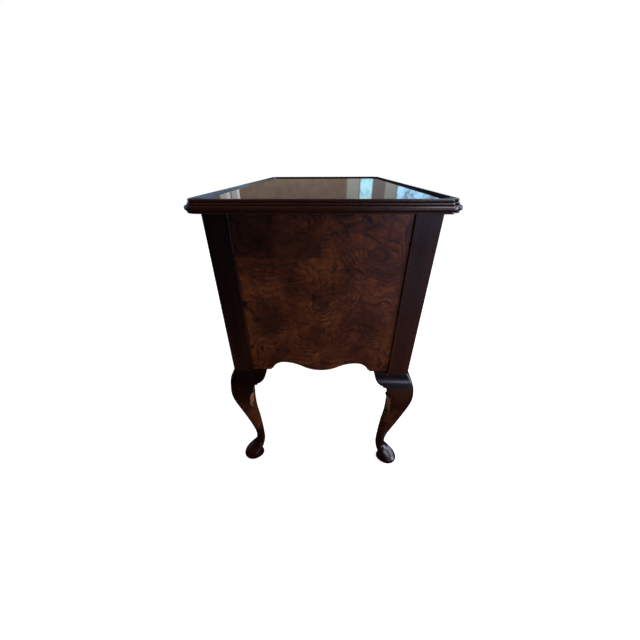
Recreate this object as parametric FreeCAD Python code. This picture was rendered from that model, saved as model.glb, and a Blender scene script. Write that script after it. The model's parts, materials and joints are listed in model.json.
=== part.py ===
import FreeCAD, Part
import math
import os

# Lowboy: a low walnut chest on four cabriole legs, with one long drawer over three small ones.
# Millimetres. +Z is up, the floor is Z = 0, X runs along the length and the front faces -Y.
# The origin is on the floor under the middle of the case.

V = FreeCAD.Vector

# ---- Case ----
CASE_LENGTH = 830.0
CASE_DEPTH = 432.0
POST_HEIGHT = 373.0
LEG_HEIGHT = 366.0
POST_WIDTH = 48.0
PANEL_THICKNESS = 16.0
PANEL_RECESS = 6.0
BACK_THICKNESS = 10.0
BACK_RECESS = 4.0
BACK_LIFT = 24.0
TONGUE_DEPTH = 8.0
PANEL_TONGUE = 8.0
BACK_TONGUE = 5.0

# ---- Scalloped lower edges ----
SCALLOP_RISE = 24.0
SCALLOP_RADIUS = 30.0
SCALLOP_STEP = 4.0
SIDE_PEAK = 90.0
FRONT_PEAK_INSET = 76.0
DROP_INNER = 122.0
DROP_WIDTH = 16.0
ARCH_RISE = 58.0
ARCH_SHOULDER = 88.0
ARCH_SHOULDER_FALL = 10.0
ARCH_FOOT = 10.0
ARCH_BULGE = (7.5, 24.7)

# ---- Top: members of the edge moulding from the bottom up, as (inset, radius) ----
TOP_OVERHANG = 27.0
BEAD = (3.5, 1.5)
TORUS = (0.0, 4.5)
REED = (6.2, 1.8)
LIP = (8.2, 2.8)
EDGE_FILLET = 0.6
MOULDING_WIDTH = 15.0
BOARD_THICKNESS = 14.0
GLASS_THICKNESS = 5.0
GLASS_CORNER_RADIUS = 42.0
GLASS_CLEARANCE = 0.5
BOARD_CLEARANCE = 0.1
FRONT_NOTCH = 14.0
LOBE_RADIUS = 12.0
BACK_CORNER_RADIUS = 32.0

# ---- Front frame and drawer openings ----
RAIL_DEPTH = 40.0
TOP_RAIL_HEIGHT = 22.0
MIDDLE_RAIL_HEIGHT = 20.0
LONG_OPENING_HEIGHT = 100.0
CENTRE_OPENING_WIDTH = 214.0
APRON_HEIGHT = 79.0
CENTRE_LIFT = 60.0
PARTITION_THICKNESS = 20.0
APRON_THICKNESS = 20.0
RUNNER_HEIGHT = 12.0
RUNNER_BEARING = 22.0
INNER_RUNNER_WIDTH = 14.0
GUIDE_HEIGHT = 20.0
STOP_HEIGHT = 13.0
STOP_LENGTH = 26.0
PARTITION_FOOT = 8.0
REAR_RAIL_DEPTH = 30.0

# ---- Drawers ----
DRAWER_SIDE_GAP = 1.2
DRAWER_TOP_GAP = 1.5
RUNNING_GAP = 0.3
FRONT_THICKNESS = 20.0
FRONT_SETBACK = 2.0
COCK_BEAD_WIDTH = 3.0
COCK_BEAD_PROUD = 3.0
DRAWER_WALL = 10.0
DRAWER_BOTTOM = 6.0
BOTTOM_LIFT = 8.0
BOTTOM_GROOVE = 5.0
DRAWER_SIDE_DROP = 4.0
DRAWER_BACK_DROP = 6.0

# ---- Bail handles ----
HANDLE_SPACING = 64.0
LONG_DRAWER_HANDLE_X = 220.0
PLATE_THICKNESS = 1.6
PLATE_HALF_HEIGHT = 23.0
PLATE_BROW = (9.6, 13.2)
PLATE_SHOULDER = (20.0, 13.8)
PLATE_RING_TOP = 11.0
PLATE_RING_BOTTOM = 14.3
PLATE_WING = 14.0
PLATE_WING_HALF = 5.2
PLATE_WING_DENT = 2.3
PLATE_HIP = (17.6, 14.4)
PLATE_CHIN = (9.6, 16.1)
POST_STEM_RADIUS = 2.8
POST_BALL_RADIUS = 4.6
POST_STANDOFF = 11.0
POST_THREAD_LENGTH = 5.0
NUT_WIDTH = 9.0
NUT_HEIGHT = 4.0
BAIL_RADIUS = 1.9
BAIL_FIT = 0.05
BAIL_ARM_OFFSET = 8.0
BAIL_DROP = 30.0
BAIL_CORNER = 14.0
BAIL_BEND = 3.0
HANDLE_RISE = 4.0
STEM_CLEARANCE = 0.1

# ---- Legs: heights above the floor with the outer and inner faces, from the post's axis ----
LEG_SECTIONS = (
    # height, outer, inner, squareness (2 is round), how much less a rear leg stands out at the back
    (0.0, 26.0, -8.5, 2.0, 0.0),
    (3.0, 29.0, -10.5, 2.0, 0.0),
    (7.0, 34.0, -10.0, 2.0, 0.0),
    (12.0, 40.5, -7.0, 2.0, 0.0),
    (18.0, 44.5, -4.5, 2.0, 0.0),
    (25.0, 45.5, -5.0, 2.0, 0.0),
    (33.0, 41.0, -8.5, 2.0, 0.0),
    (41.0, 31.0, -12.5, 2.0, 0.0),
    (50.0, 18.5, -15.5, 2.0, 0.0),
    (61.0, 11.0, -16.8, 2.0, 1.0),
    (78.0, 9.5, -16.8, 2.0, 2.5),
    (110.0, 13.0, -16.5, 2.1, 5.5),
    (160.0, 23.5, -15.0, 2.4, 10.0),
    (215.0, 34.3, -11.5, 2.9, 10.5),
    (270.0, 44.5, -12.0, 3.6, 8.5),
    (300.0, 46.8, -15.5, 4.5, 7.5),
    (324.0, 44.5, -23.5, 5.5, 6.5),
    (338.0, 40.5, -24.0, 6.5, 4.0),
    (348.0, 36.8, -24.0, 8.0, 2.5),
    (356.0, 32.2, -24.0, 10.0, 1.0),
    (362.0, 27.5, -24.0, 12.0, 0.0),
    (366.0, 24.0, -24.0, 14.0, 0.0),
)
SECTION_POINTS = 32
BRACKET_REACH = 33.0
BRACKET_HANG = 28.0
BRACKET_LOBE = (28.3, 15.5)
BRACKET_NECK = 12.5
BRACKET_TIP = 5.0
BRACKET_BEAD = 4.0
BRACKET_THICKNESS = 20.0

# ---- Fastenings ----
DOWEL_RADIUS = 6.0
DOWEL_LENGTH = 50.0
DOWEL_CLEARANCE = 0.05
SCREW_RADIUS = 2.2
SCREW_CLEARANCE = 0.1
SCREW_HEAD_RADIUS = 4.0
SCREW_HEAD_HEIGHT = 3.0
SCREW_COUNTERBORE = 6.0
SCREW_BITE = 10.0
SCREW_SPREAD = 250.0
GLUE_BLOCK_SIZE = 22.0
GLUE_BLOCK_HEIGHT = 40.0

# ---- Places worked out from the sizes above ----
HALF_LENGTH = CASE_LENGTH / 2
HALF_DEPTH = CASE_DEPTH / 2
POST_TOP = LEG_HEIGHT + POST_HEIGHT
POST_AXIS_X = HALF_LENGTH - POST_WIDTH / 2
POST_AXIS_Y = HALF_DEPTH - POST_WIDTH / 2
OPENING_HALF = HALF_LENGTH - POST_WIDTH
BAY_HALF = HALF_DEPTH - POST_WIDTH
PANEL_OUTER = HALF_LENGTH - PANEL_RECESS
PANEL_INNER = PANEL_OUTER - PANEL_THICKNESS
BACK_OUTER = HALF_DEPTH - BACK_RECESS
BACK_INNER = BACK_OUTER - BACK_THICKNESS
EDGE_MEMBERS = (BEAD, TORUS, REED, LIP)
TOP_THICKNESS = 2 * sum(radius for _, radius in EDGE_MEMBERS) + 3 * EDGE_FILLET
TOP_HALF_LENGTH = HALF_LENGTH + TOP_OVERHANG
TOP_HALF_DEPTH = HALF_DEPTH + TOP_OVERHANG
GLASS_BOTTOM = POST_TOP + BOARD_THICKNESS
RAIL_BACK = -HALF_DEPTH + RAIL_DEPTH
APRON_BACK = -HALF_DEPTH + APRON_THICKNESS
LONG_TOP = POST_TOP - TOP_RAIL_HEIGHT
LONG_BOTTOM = LONG_TOP - LONG_OPENING_HEIGHT
SMALL_TOP = LONG_BOTTOM - MIDDLE_RAIL_HEIGHT
SIDE_BOTTOM = LEG_HEIGHT + APRON_HEIGHT
CENTRE_BOTTOM = SIDE_BOTTOM + CENTRE_LIFT
PARTITION_INNER = CENTRE_OPENING_WIDTH / 2
PARTITION_OUTER = PARTITION_INNER + PARTITION_THICKNESS
RUNNER_INNER = OPENING_HALF - RUNNER_BEARING
FRONT_FACE = -HALF_DEPTH + FRONT_SETBACK
FRONT_BACK = FRONT_FACE + FRONT_THICKNESS
DRAWER_BACK = BACK_INNER - STOP_LENGTH - RUNNING_GAP
SIDE_DRAWER_X = (PARTITION_OUTER + OPENING_HALF) / 2
ROUNDING = 1 - math.sqrt(0.5)  # from a rounded corner's square edges to its middle, for a radius of 1
CORNERS = {
    "front_left": (-1, -1),
    "front_right": (1, -1),
    "rear_left": (-1, 1),
    "rear_right": (1, 1),
}


def box(x_low, x_high, y_low, y_high, z_low, z_high):
    """A block between two corners."""
    return Part.makeBox(x_high - x_low, y_high - y_low, z_high - z_low, V(x_low, y_low, z_low))


def rod(radius, length, start, direction):
    """A round bar from start along direction."""
    return Part.makeCylinder(radius, length, start, direction)


def flipped(shape, side_x, side_y):
    """The shape, drawn for +X and +Y, moved to another corner of the case."""
    if side_x < 0:
        shape = shape.mirror(V(0, 0, 0), V(1, 0, 0))
    if side_y < 0:
        shape = shape.mirror(V(0, 0, 0), V(0, 1, 0))
    return shape


def both_sides(shape):
    """The shape, drawn for +X, with its mirror image at -X."""
    return [shape, flipped(shape, -1, 1)]


class Outline:
    """A flat outline drawn edge by edge, where place turns (u, v) into a point in space."""

    def __init__(self, place, start):
        self.place = place
        self.start = start
        self.at = start
        self.edges = []

    def line(self, *points):
        for point in points:
            self.edges.append(Part.makeLine(self.place(*self.at), self.place(*point)))
            self.at = point
        return self

    def arc(self, through, end):
        curve = Part.Arc(self.place(*self.at), self.place(*through), self.place(*end))
        self.edges.append(curve.toShape())
        self.at = end
        return self

    def ogee(self, run, rise):
        """Two equal tangent arcs that leave and arrive level."""
        u, v = self.at
        radius = (run * run + rise * rise) / (4 * abs(rise))
        half_turn = math.asin(abs(run) / (2 * radius)) / 2
        step = math.copysign(radius * math.sin(half_turn), run)
        lift = math.copysign(radius * (1 - math.cos(half_turn)), rise)
        self.arc((u + step, v + lift), (u + run / 2, v + rise / 2))
        return self.arc((u + run - step, v + rise - lift), (u + run, v + rise))

    def closed_face(self):
        if self.at != self.start:
            self.line(self.start)
        return Part.Face(Part.Wire(self.edges))


def mirrored_halves(shape, normal):
    """One solid from a half and its mirror image in the plane through the origin."""
    return shape.fuse(shape.mirror(V(0, 0, 0), normal)).removeSplitter()


# ---- Top ----

def edge_face(place, depth):
    """Section of the edge moulding: bead, torus, reed and lip, backed to the given depth."""
    height = 0.0
    first_inset, first_radius = EDGE_MEMBERS[0]
    outline = Outline(place, (depth, 0.0))
    outline.line((first_inset + first_radius, 0.0))
    for inset, radius in EDGE_MEMBERS:
        centre = inset + radius
        if outline.at[0] != centre:
            outline.line((centre, height))
        outline.arc((inset, height + radius), (centre, height + 2 * radius))
        height += 2 * radius
        if (inset, radius) != EDGE_MEMBERS[-1]:
            height += EDGE_FILLET
            outline.line((centre, height))
    return outline.line((depth, height)).closed_face()


def rounded_plate(half_x, y_low, y_high, z_low, z_high, radius_low, radius_high):
    """A plate with its corners rounded, by one radius at y_low and another at y_high."""
    low = radius_low * ROUNDING
    high = radius_high * ROUNDING
    outline = Outline(lambda u, v: V(u, v, z_low), (radius_low - half_x, y_low))
    outline.line((half_x - radius_low, y_low))
    outline.arc((half_x - low, y_low + low), (half_x, y_low + radius_low))
    outline.line((half_x, y_high - radius_high))
    outline.arc((half_x - high, y_high - high), (half_x - radius_high, y_high))
    outline.line((radius_high - half_x, y_high))
    outline.arc((high - half_x, y_high - high), (-half_x, y_high - radius_high))
    outline.line((-half_x, y_low + radius_low))
    outline.arc((low - half_x, y_low + low), (radius_low - half_x, y_low))
    return outline.closed_face().extrude(V(0, 0, z_high - z_low))


def moulded_slab(half_x, y_low, y_high, radius_low, radius_high):
    """A plate on Z = 0 with the edge moulding run along its sides and round its corners."""
    backing = LIP[0] + LIP[1] + EDGE_FILLET / 2
    core = rounded_plate(half_x - backing, y_low + backing, y_high - backing, 0.0, TOP_THICKNESS,
                         radius_low - backing, radius_high - backing)
    pieces = []
    for y_edge, inward in ((y_low, 1), (y_high, -1)):
        radius = radius_low if inward > 0 else radius_high
        start = -half_x + radius
        section = edge_face(lambda u, v: V(start, y_edge + inward * u, v), backing)
        pieces.append(section.extrude(V(2 * (half_x - radius), 0, 0)))
    for inward in (1, -1):
        start = y_low + radius_low
        section = edge_face(lambda u, v: V(inward * (u - half_x), start, v), backing)
        pieces.append(section.extrude(V(0, y_high - radius_high - start, 0)))
    for side, y_edge, inward in ((-1, y_low, 1), (1, y_low, 1), (-1, y_high, -1), (1, y_high, -1)):
        radius = radius_low if inward > 0 else radius_high
        centre = V(side * (half_x - radius), y_edge + inward * radius, 0)
        section = edge_face(lambda u, v: V(side * (half_x - u), centre.y, v), backing)
        turn = -90 * side * inward
        pieces.append(section.revolve(centre, V(0, 0, 1), turn))
    return core.multiFuse(pieces).removeSplitter()


def recess_plate(z_low, z_high, clearance):
    """What fills the space inside the moulding, less a clearance all round."""
    half_x = TOP_HALF_LENGTH - MOULDING_WIDTH - clearance
    half_y = TOP_HALF_DEPTH - MOULDING_WIDTH - clearance
    radius = GLASS_CORNER_RADIUS - clearance
    return rounded_plate(half_x, -half_y, half_y, z_low, z_high, radius, radius)


def top_moulding():
    """The moulded frame round the top, cut into four lengths at the mitres."""
    slab = moulded_slab(TOP_HALF_LENGTH, -TOP_HALF_DEPTH + FRONT_NOTCH, TOP_HALF_DEPTH,
                        LOBE_RADIUS, BACK_CORNER_RADIUS)
    front_lobe = moulded_slab(TOP_HALF_LENGTH - FRONT_NOTCH, -TOP_HALF_DEPTH, -TOP_HALF_DEPTH / 2,
                              LOBE_RADIUS, LOBE_RADIUS)
    recess = recess_plate(0.0, TOP_THICKNESS, 0.0)
    slab = slab.cut(recess)
    front_lobe = front_lobe.cut(recess)
    outside = TOP_OVERHANG
    reach = 2 * MOULDING_WIDTH + GLASS_CORNER_RADIUS
    corner = (TOP_HALF_LENGTH, TOP_HALF_DEPTH)
    lengths = {}
    for name, axis, side in (("front", 0, -1), ("back", 0, 1), ("left", 1, -1), ("right", 1, 1)):
        along = corner[axis]
        across = corner[1 - axis]

        def place(u, v):
            return V(u, v, 0) if axis == 0 else V(v, u, 0)

        wedge = Outline(place, (-along - outside, side * (across + outside)))
        wedge.line((along + outside, side * (across + outside)))
        wedge.line((along - reach, side * (across - reach)))
        wedge.line((reach - along, side * (across - reach)))
        prism = wedge.closed_face().extrude(V(0, 0, TOP_THICKNESS))
        length = slab.common(prism).fuse(front_lobe.common(prism)).removeSplitter()
        length.translate(V(0, 0, POST_TOP))
        lengths["top_moulding_" + name] = length
    return lengths


def screw_places():
    """Where the screws go up through the two top rails."""
    front = (-HALF_DEPTH + RAIL_BACK) / 2
    rear = BACK_INNER - REAR_RAIL_DEPTH / 2
    return [V(x, y, LONG_TOP) for x in (-SCREW_SPREAD, 0, SCREW_SPREAD) for y in (front, rear)]


def screw_length():
    """From the bottom of the counterbore to the screw's point in the board."""
    return TOP_RAIL_HEIGHT - SCREW_COUNTERBORE + SCREW_BITE


def screw_holes():
    """Clearance holes and counterbores for the top screws."""
    holes = []
    for place in screw_places():
        holes.append(rod(SCREW_HEAD_RADIUS + SCREW_CLEARANCE, SCREW_COUNTERBORE, place, V(0, 0, 1)))
        start = place + V(0, 0, SCREW_COUNTERBORE)
        length = screw_length() + SCREW_CLEARANCE
        holes.append(rod(SCREW_RADIUS + SCREW_CLEARANCE, length, start, V(0, 0, 1)))
    return holes


def top_screws():
    screws = []
    for place in screw_places():
        seat = place + V(0, 0, SCREW_COUNTERBORE)
        shank = rod(SCREW_RADIUS, screw_length(), seat, V(0, 0, 1))
        head = rod(SCREW_HEAD_RADIUS, SCREW_HEAD_HEIGHT, seat, V(0, 0, -1))
        screws.append(shank.fuse(head).removeSplitter())
    return screws


def top_board():
    board = recess_plate(POST_TOP, GLASS_BOTTOM, BOARD_CLEARANCE)
    return board.cut(screw_holes())


# ---- Case ----

def tongue_span(outer, thickness, tongue):
    """The two faces of a tongue in the middle of a panel whose outer face is given."""
    margin = (thickness - tongue) / 2
    return outer - thickness + margin, outer - margin


def dowel_hole():
    radius = DOWEL_RADIUS + DOWEL_CLEARANCE
    start = V(POST_AXIS_X, POST_AXIS_Y, LEG_HEIGHT - DOWEL_LENGTH / 2 - DOWEL_CLEARANCE)
    return rod(radius, DOWEL_LENGTH + 2 * DOWEL_CLEARANCE, start, V(0, 0, 1))


def corner_post(side_x, side_y):
    """A square post, grooved for the end panel and, at the rear, for the back panel."""
    post = box(OPENING_HALF, HALF_LENGTH, BAY_HALF, HALF_DEPTH, LEG_HEIGHT, POST_TOP)
    low, high = tongue_span(PANEL_OUTER, PANEL_THICKNESS, PANEL_TONGUE)
    cuts = [box(low, high, BAY_HALF, BAY_HALF + TONGUE_DEPTH, LEG_HEIGHT, POST_TOP), dowel_hole()]
    if side_y > 0:
        low, high = tongue_span(BACK_OUTER, BACK_THICKNESS, BACK_TONGUE)
        bottom = LEG_HEIGHT + BACK_LIFT
        cuts.append(box(OPENING_HALF, OPENING_HALF + TONGUE_DEPTH, low, high, bottom, POST_TOP))
    return flipped(post.cut(cuts), side_x, side_y)


def scallop_end(outline, end):
    """From the top of a scallop, round and down to the level edge at its end."""
    u, v = outline.at
    centre_v = v - SCALLOP_RADIUS
    level = v - SCALLOP_RISE
    turn = math.acos((level + SCALLOP_STEP - centre_v) / SCALLOP_RADIUS)
    foot = u + SCALLOP_RADIUS * math.sin(turn)
    middle = (u + SCALLOP_RADIUS * math.sin(turn / 2), centre_v + SCALLOP_RADIUS * math.cos(turn / 2))
    outline.arc(middle, (foot, level + SCALLOP_STEP))
    outline.line((foot + SCALLOP_STEP, level + SCALLOP_STEP), (foot + SCALLOP_STEP, level), (end, level))


def side_panel(side_x):
    """An end panel with a scalloped lower edge and a tongue along each upright edge."""

    def place(u, v):
        return V(PANEL_INNER, u, v)

    outline = Outline(place, (0.0, LEG_HEIGHT))
    outline.ogee(SIDE_PEAK, SCALLOP_RISE)
    scallop_end(outline, BAY_HALF)
    outline.line((BAY_HALF, POST_TOP), (0.0, POST_TOP))
    half = outline.closed_face().extrude(V(PANEL_THICKNESS, 0, 0))
    low, high = tongue_span(PANEL_OUTER, PANEL_THICKNESS, PANEL_TONGUE)
    tongue = box(low, high, BAY_HALF, BAY_HALF + TONGUE_DEPTH, LEG_HEIGHT, POST_TOP)
    return flipped(mirrored_halves(half.fuse(tongue), V(0, 1, 0)), side_x, 1)


def back_panel():
    bottom = LEG_HEIGHT + BACK_LIFT
    panel = box(-OPENING_HALF, OPENING_HALF, BACK_INNER, BACK_OUTER, bottom, POST_TOP)
    low, high = tongue_span(BACK_OUTER, BACK_THICKNESS, BACK_TONGUE)
    reach = OPENING_HALF + TONGUE_DEPTH
    return panel.fuse(box(-reach, reach, low, high, bottom, POST_TOP)).removeSplitter()


def top_rail():
    rail = box(-OPENING_HALF, OPENING_HALF, -HALF_DEPTH, RAIL_BACK, LONG_TOP, POST_TOP)
    return rail.cut(screw_holes())


def rear_rail():
    low = BACK_INNER - REAR_RAIL_DEPTH
    rail = box(-OPENING_HALF, OPENING_HALF, low, BACK_INNER, LONG_TOP, POST_TOP)
    return rail.cut(screw_holes())


def middle_rail():
    return box(-OPENING_HALF, OPENING_HALF, -HALF_DEPTH, RAIL_BACK, SMALL_TOP, LONG_BOTTOM)


def front_apron():
    """The shaped board under the small drawers: an arch between two drops, and a scallop each side."""

    def place(u, v):
        return V(u, -HALF_DEPTH, LEG_HEIGHT + v)

    side_top = SIDE_BOTTOM - LEG_HEIGHT
    centre_top = CENTRE_BOTTOM - LEG_HEIGHT
    shoulder = ARCH_RISE - ARCH_SHOULDER_FALL
    arch_end = DROP_INNER - SCALLOP_STEP
    outline = Outline(place, (0.0, ARCH_RISE))
    outline.arc((ARCH_SHOULDER / 2, ARCH_RISE - ARCH_SHOULDER_FALL / 4), (ARCH_SHOULDER, shoulder))
    bulge = (arch_end - ARCH_BULGE[0], ARCH_FOOT + ARCH_BULGE[1])
    outline.arc(bulge, (arch_end, ARCH_FOOT))
    outline.line((DROP_INNER, ARCH_FOOT), (DROP_INNER, 0.0), (DROP_INNER + DROP_WIDTH, 0.0))
    run = OPENING_HALF - FRONT_PEAK_INSET - DROP_INNER - DROP_WIDTH
    outline.ogee(run, SCALLOP_RISE)
    scallop_end(outline, OPENING_HALF)
    outline.line((OPENING_HALF, side_top), (PARTITION_INNER, side_top))
    outline.line((PARTITION_INNER, centre_top), (0.0, centre_top))
    half = outline.closed_face().extrude(V(0, APRON_THICKNESS, 0))
    return mirrored_halves(half, V(1, 0, 0))


def partitions():
    """The two upright boards between the small drawers, notched over the apron."""
    foot = SIDE_BOTTOM - RUNNER_HEIGHT - PARTITION_FOOT
    board = box(PARTITION_INNER, PARTITION_OUTER, -HALF_DEPTH, BACK_INNER, foot, SMALL_TOP)
    notch = box(PARTITION_INNER, PARTITION_OUTER, -HALF_DEPTH, APRON_BACK, foot, SIDE_BOTTOM)
    return both_sides(board.cut(notch))


def bearing(z_low, z_high, front, rear):
    """A strip along one end of the case: it fits between the posts and reaches under a drawer."""
    inner = box(RUNNER_INNER, OPENING_HALF, front, rear, z_low, z_high)
    outer = box(OPENING_HALF, PANEL_INNER, -BAY_HALF, BAY_HALF, z_low, z_high)
    return inner.fuse(outer).removeSplitter()


def long_drawer_runners():
    return both_sides(bearing(SMALL_TOP, LONG_BOTTOM, RAIL_BACK, BACK_INNER))


def long_drawer_kickers():
    return both_sides(bearing(LONG_TOP, POST_TOP, RAIL_BACK, BACK_INNER - REAR_RAIL_DEPTH))


def small_drawer_runners():
    """Runners at the case ends, and strips on both faces of each partition."""
    low = SIDE_BOTTOM - RUNNER_HEIGHT
    end = bearing(low, SIDE_BOTTOM, APRON_BACK, BACK_INNER)
    outer = box(PARTITION_OUTER, PARTITION_OUTER + INNER_RUNNER_WIDTH,
                APRON_BACK, BACK_INNER, low, SIDE_BOTTOM)
    inner = box(PARTITION_INNER - INNER_RUNNER_WIDTH, PARTITION_INNER,
                APRON_BACK, BACK_INNER, CENTRE_BOTTOM - RUNNER_HEIGHT, CENTRE_BOTTOM)
    return both_sides(end) + both_sides(outer) + both_sides(inner)


def drawer_guides():
    """Strips on the end runners that keep the drawers from moving sideways."""
    guides = []
    for floor in (LONG_BOTTOM, SIDE_BOTTOM):
        guide = box(OPENING_HALF, PANEL_INNER, -BAY_HALF, BAY_HALF, floor, floor + GUIDE_HEIGHT)
        guides += both_sides(guide)
    return guides


def drawer_stops():
    """Blocks on the runners, against the back, that each drawer meets when it is shut."""
    front = DRAWER_BACK + RUNNING_GAP
    spans = (
        (RUNNER_INNER, OPENING_HALF, LONG_BOTTOM),
        (RUNNER_INNER, OPENING_HALF, SIDE_BOTTOM),
        (PARTITION_OUTER, PARTITION_OUTER + INNER_RUNNER_WIDTH, SIDE_BOTTOM),
        (PARTITION_INNER - INNER_RUNNER_WIDTH, PARTITION_INNER, CENTRE_BOTTOM),
    )
    stops = []
    for low, high, floor in spans:
        stops += both_sides(box(low, high, front, BACK_INNER, floor, floor + STOP_HEIGHT))
    return stops


def glue_blocks():
    """Three-sided blocks in the corners between the posts and the end panels."""
    size = GLUE_BLOCK_SIZE
    top = SIDE_BOTTOM - RUNNER_HEIGHT
    outline = Outline(lambda u, v: V(u, v, top - GLUE_BLOCK_HEIGHT), (PANEL_INNER, BAY_HALF))
    outline.line((PANEL_INNER - size, BAY_HALF), (PANEL_INNER, BAY_HALF - size))
    block = outline.closed_face().extrude(V(0, 0, GLUE_BLOCK_HEIGHT))
    return [flipped(block, *sides) for sides in CORNERS.values()]


# ---- Legs ----

def leg_height(height):
    """A height in the leg's table, stretched to the leg's real height."""
    return height * LEG_HEIGHT / LEG_SECTIONS[-1][0]


def leg_section(height, outer, inner, squareness, rear_pull):
    """A closed curve between a circle and a square, set out along the leg's diagonal."""
    half_x = (outer - inner) / 2
    half_y = half_x - rear_pull / 2
    points = []
    for step in range(SECTION_POINTS):
        angle = 2 * math.pi * (step + 0.5) / SECTION_POINTS
        cosine = math.cos(angle)
        sine = math.sin(angle)
        reach = 1 / (abs(cosine) ** squareness + abs(sine) ** squareness) ** (1 / squareness)
        x = POST_AXIS_X + inner + half_x * (1 + reach * cosine)
        y = POST_AXIS_Y + inner + half_y * (1 + reach * sine)
        points.append(V(x, y, leg_height(height)))
    curve = Part.BSplineCurve()
    curve.interpolate(points, PeriodicFlag=True)
    return Part.Wire(curve.toShape())


def leg_body(rear):
    """The turned and carved outside of a leg, drawn for +X and +Y."""
    sections = []
    for *shape, rear_pull in LEG_SECTIONS:
        sections.append(leg_section(*shape, rear_pull if rear else 0.0))
    return Part.makeLoft(sections, True, False)


def leg(side_x, side_y):
    """A cabriole leg with a pad foot, in one piece with its knee."""
    return flipped(leg_body(side_y > 0).cut(dowel_hole()), side_x, side_y)


def leg_dowels():
    start = V(POST_AXIS_X, POST_AXIS_Y, LEG_HEIGHT - DOWEL_LENGTH / 2)
    dowel = rod(DOWEL_RADIUS, DOWEL_LENGTH, start, V(0, 0, 1))
    return [flipped(dowel, *sides) for sides in CORNERS.values()]


def knee_profile(place):
    """Section of a bracket: its face follows the knee and its back is flat."""
    knee = [(outer, leg_height(height)) for height, outer, *_ in LEG_SECTIONS[-6:]]
    curve = Part.BSplineCurve()
    curve.interpolate([place(*point) for point in knee])
    back = POST_WIDTH / 2 - BRACKET_THICKNESS
    top = place(back, leg_height(LEG_SECTIONS[-1][0]))
    bottom = place(back, leg_height(LEG_SECTIONS[-6][0]))
    edges = [
        curve.toShape(),
        Part.makeLine(place(*knee[-1]), top),
        Part.makeLine(top, bottom),
        Part.makeLine(bottom, place(*knee[0])),
    ]
    return Part.Face(Part.Wire(Part.__sortEdges__(edges)))


def knee_bracket(rear):
    """The ear beside a knee, drawn for the end of the case at +X and +Y."""
    inner = BAY_HALF
    low = LEG_HEIGHT - BRACKET_HANG - 2 * BRACKET_BEAD
    outline = Outline(lambda u, v: V(0, u, v), (inner, LEG_HEIGHT))
    outline.line((inner - BRACKET_REACH, LEG_HEIGHT))
    neck = LEG_HEIGHT - BRACKET_HANG
    outline.arc((inner - BRACKET_LOBE[0], LEG_HEIGHT - BRACKET_LOBE[1]), (inner - BRACKET_NECK, neck))
    bead = inner - BRACKET_NECK + BRACKET_BEAD / 2
    outline.line((bead, neck), (bead, neck - BRACKET_BEAD))
    outline.line((inner - BRACKET_TIP, neck - BRACKET_BEAD), (inner, low))
    face = outline.closed_face()
    ear = face.extrude(V(HALF_LENGTH + POST_WIDTH, 0, 0))
    section = knee_profile(lambda u, v: V(POST_AXIS_X + u, inner - BRACKET_REACH, v))
    return ear.common(section.extrude(V(0, BRACKET_REACH, 0))).cut(leg_body(rear))


def turned_bracket():
    """The same ear on the front face, turned round the post's diagonal."""
    ear = knee_bracket(False)
    ear.translate(V(-POST_AXIS_X, -POST_AXIS_Y, 0))
    ear = ear.mirror(V(0, 0, 0), V(1, -1, 0))
    ear.translate(V(POST_AXIS_X, POST_AXIS_Y, 0))
    return ear


def knee_brackets(side_x, side_y):
    """An ear on the end face, and on the front legs a second one on the front face."""
    ears = [flipped(knee_bracket(side_y > 0), side_x, side_y)]
    if side_y < 0:
        ears.append(flipped(turned_bracket(), side_x, side_y))
    return ears


# ---- Drawers ----

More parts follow.
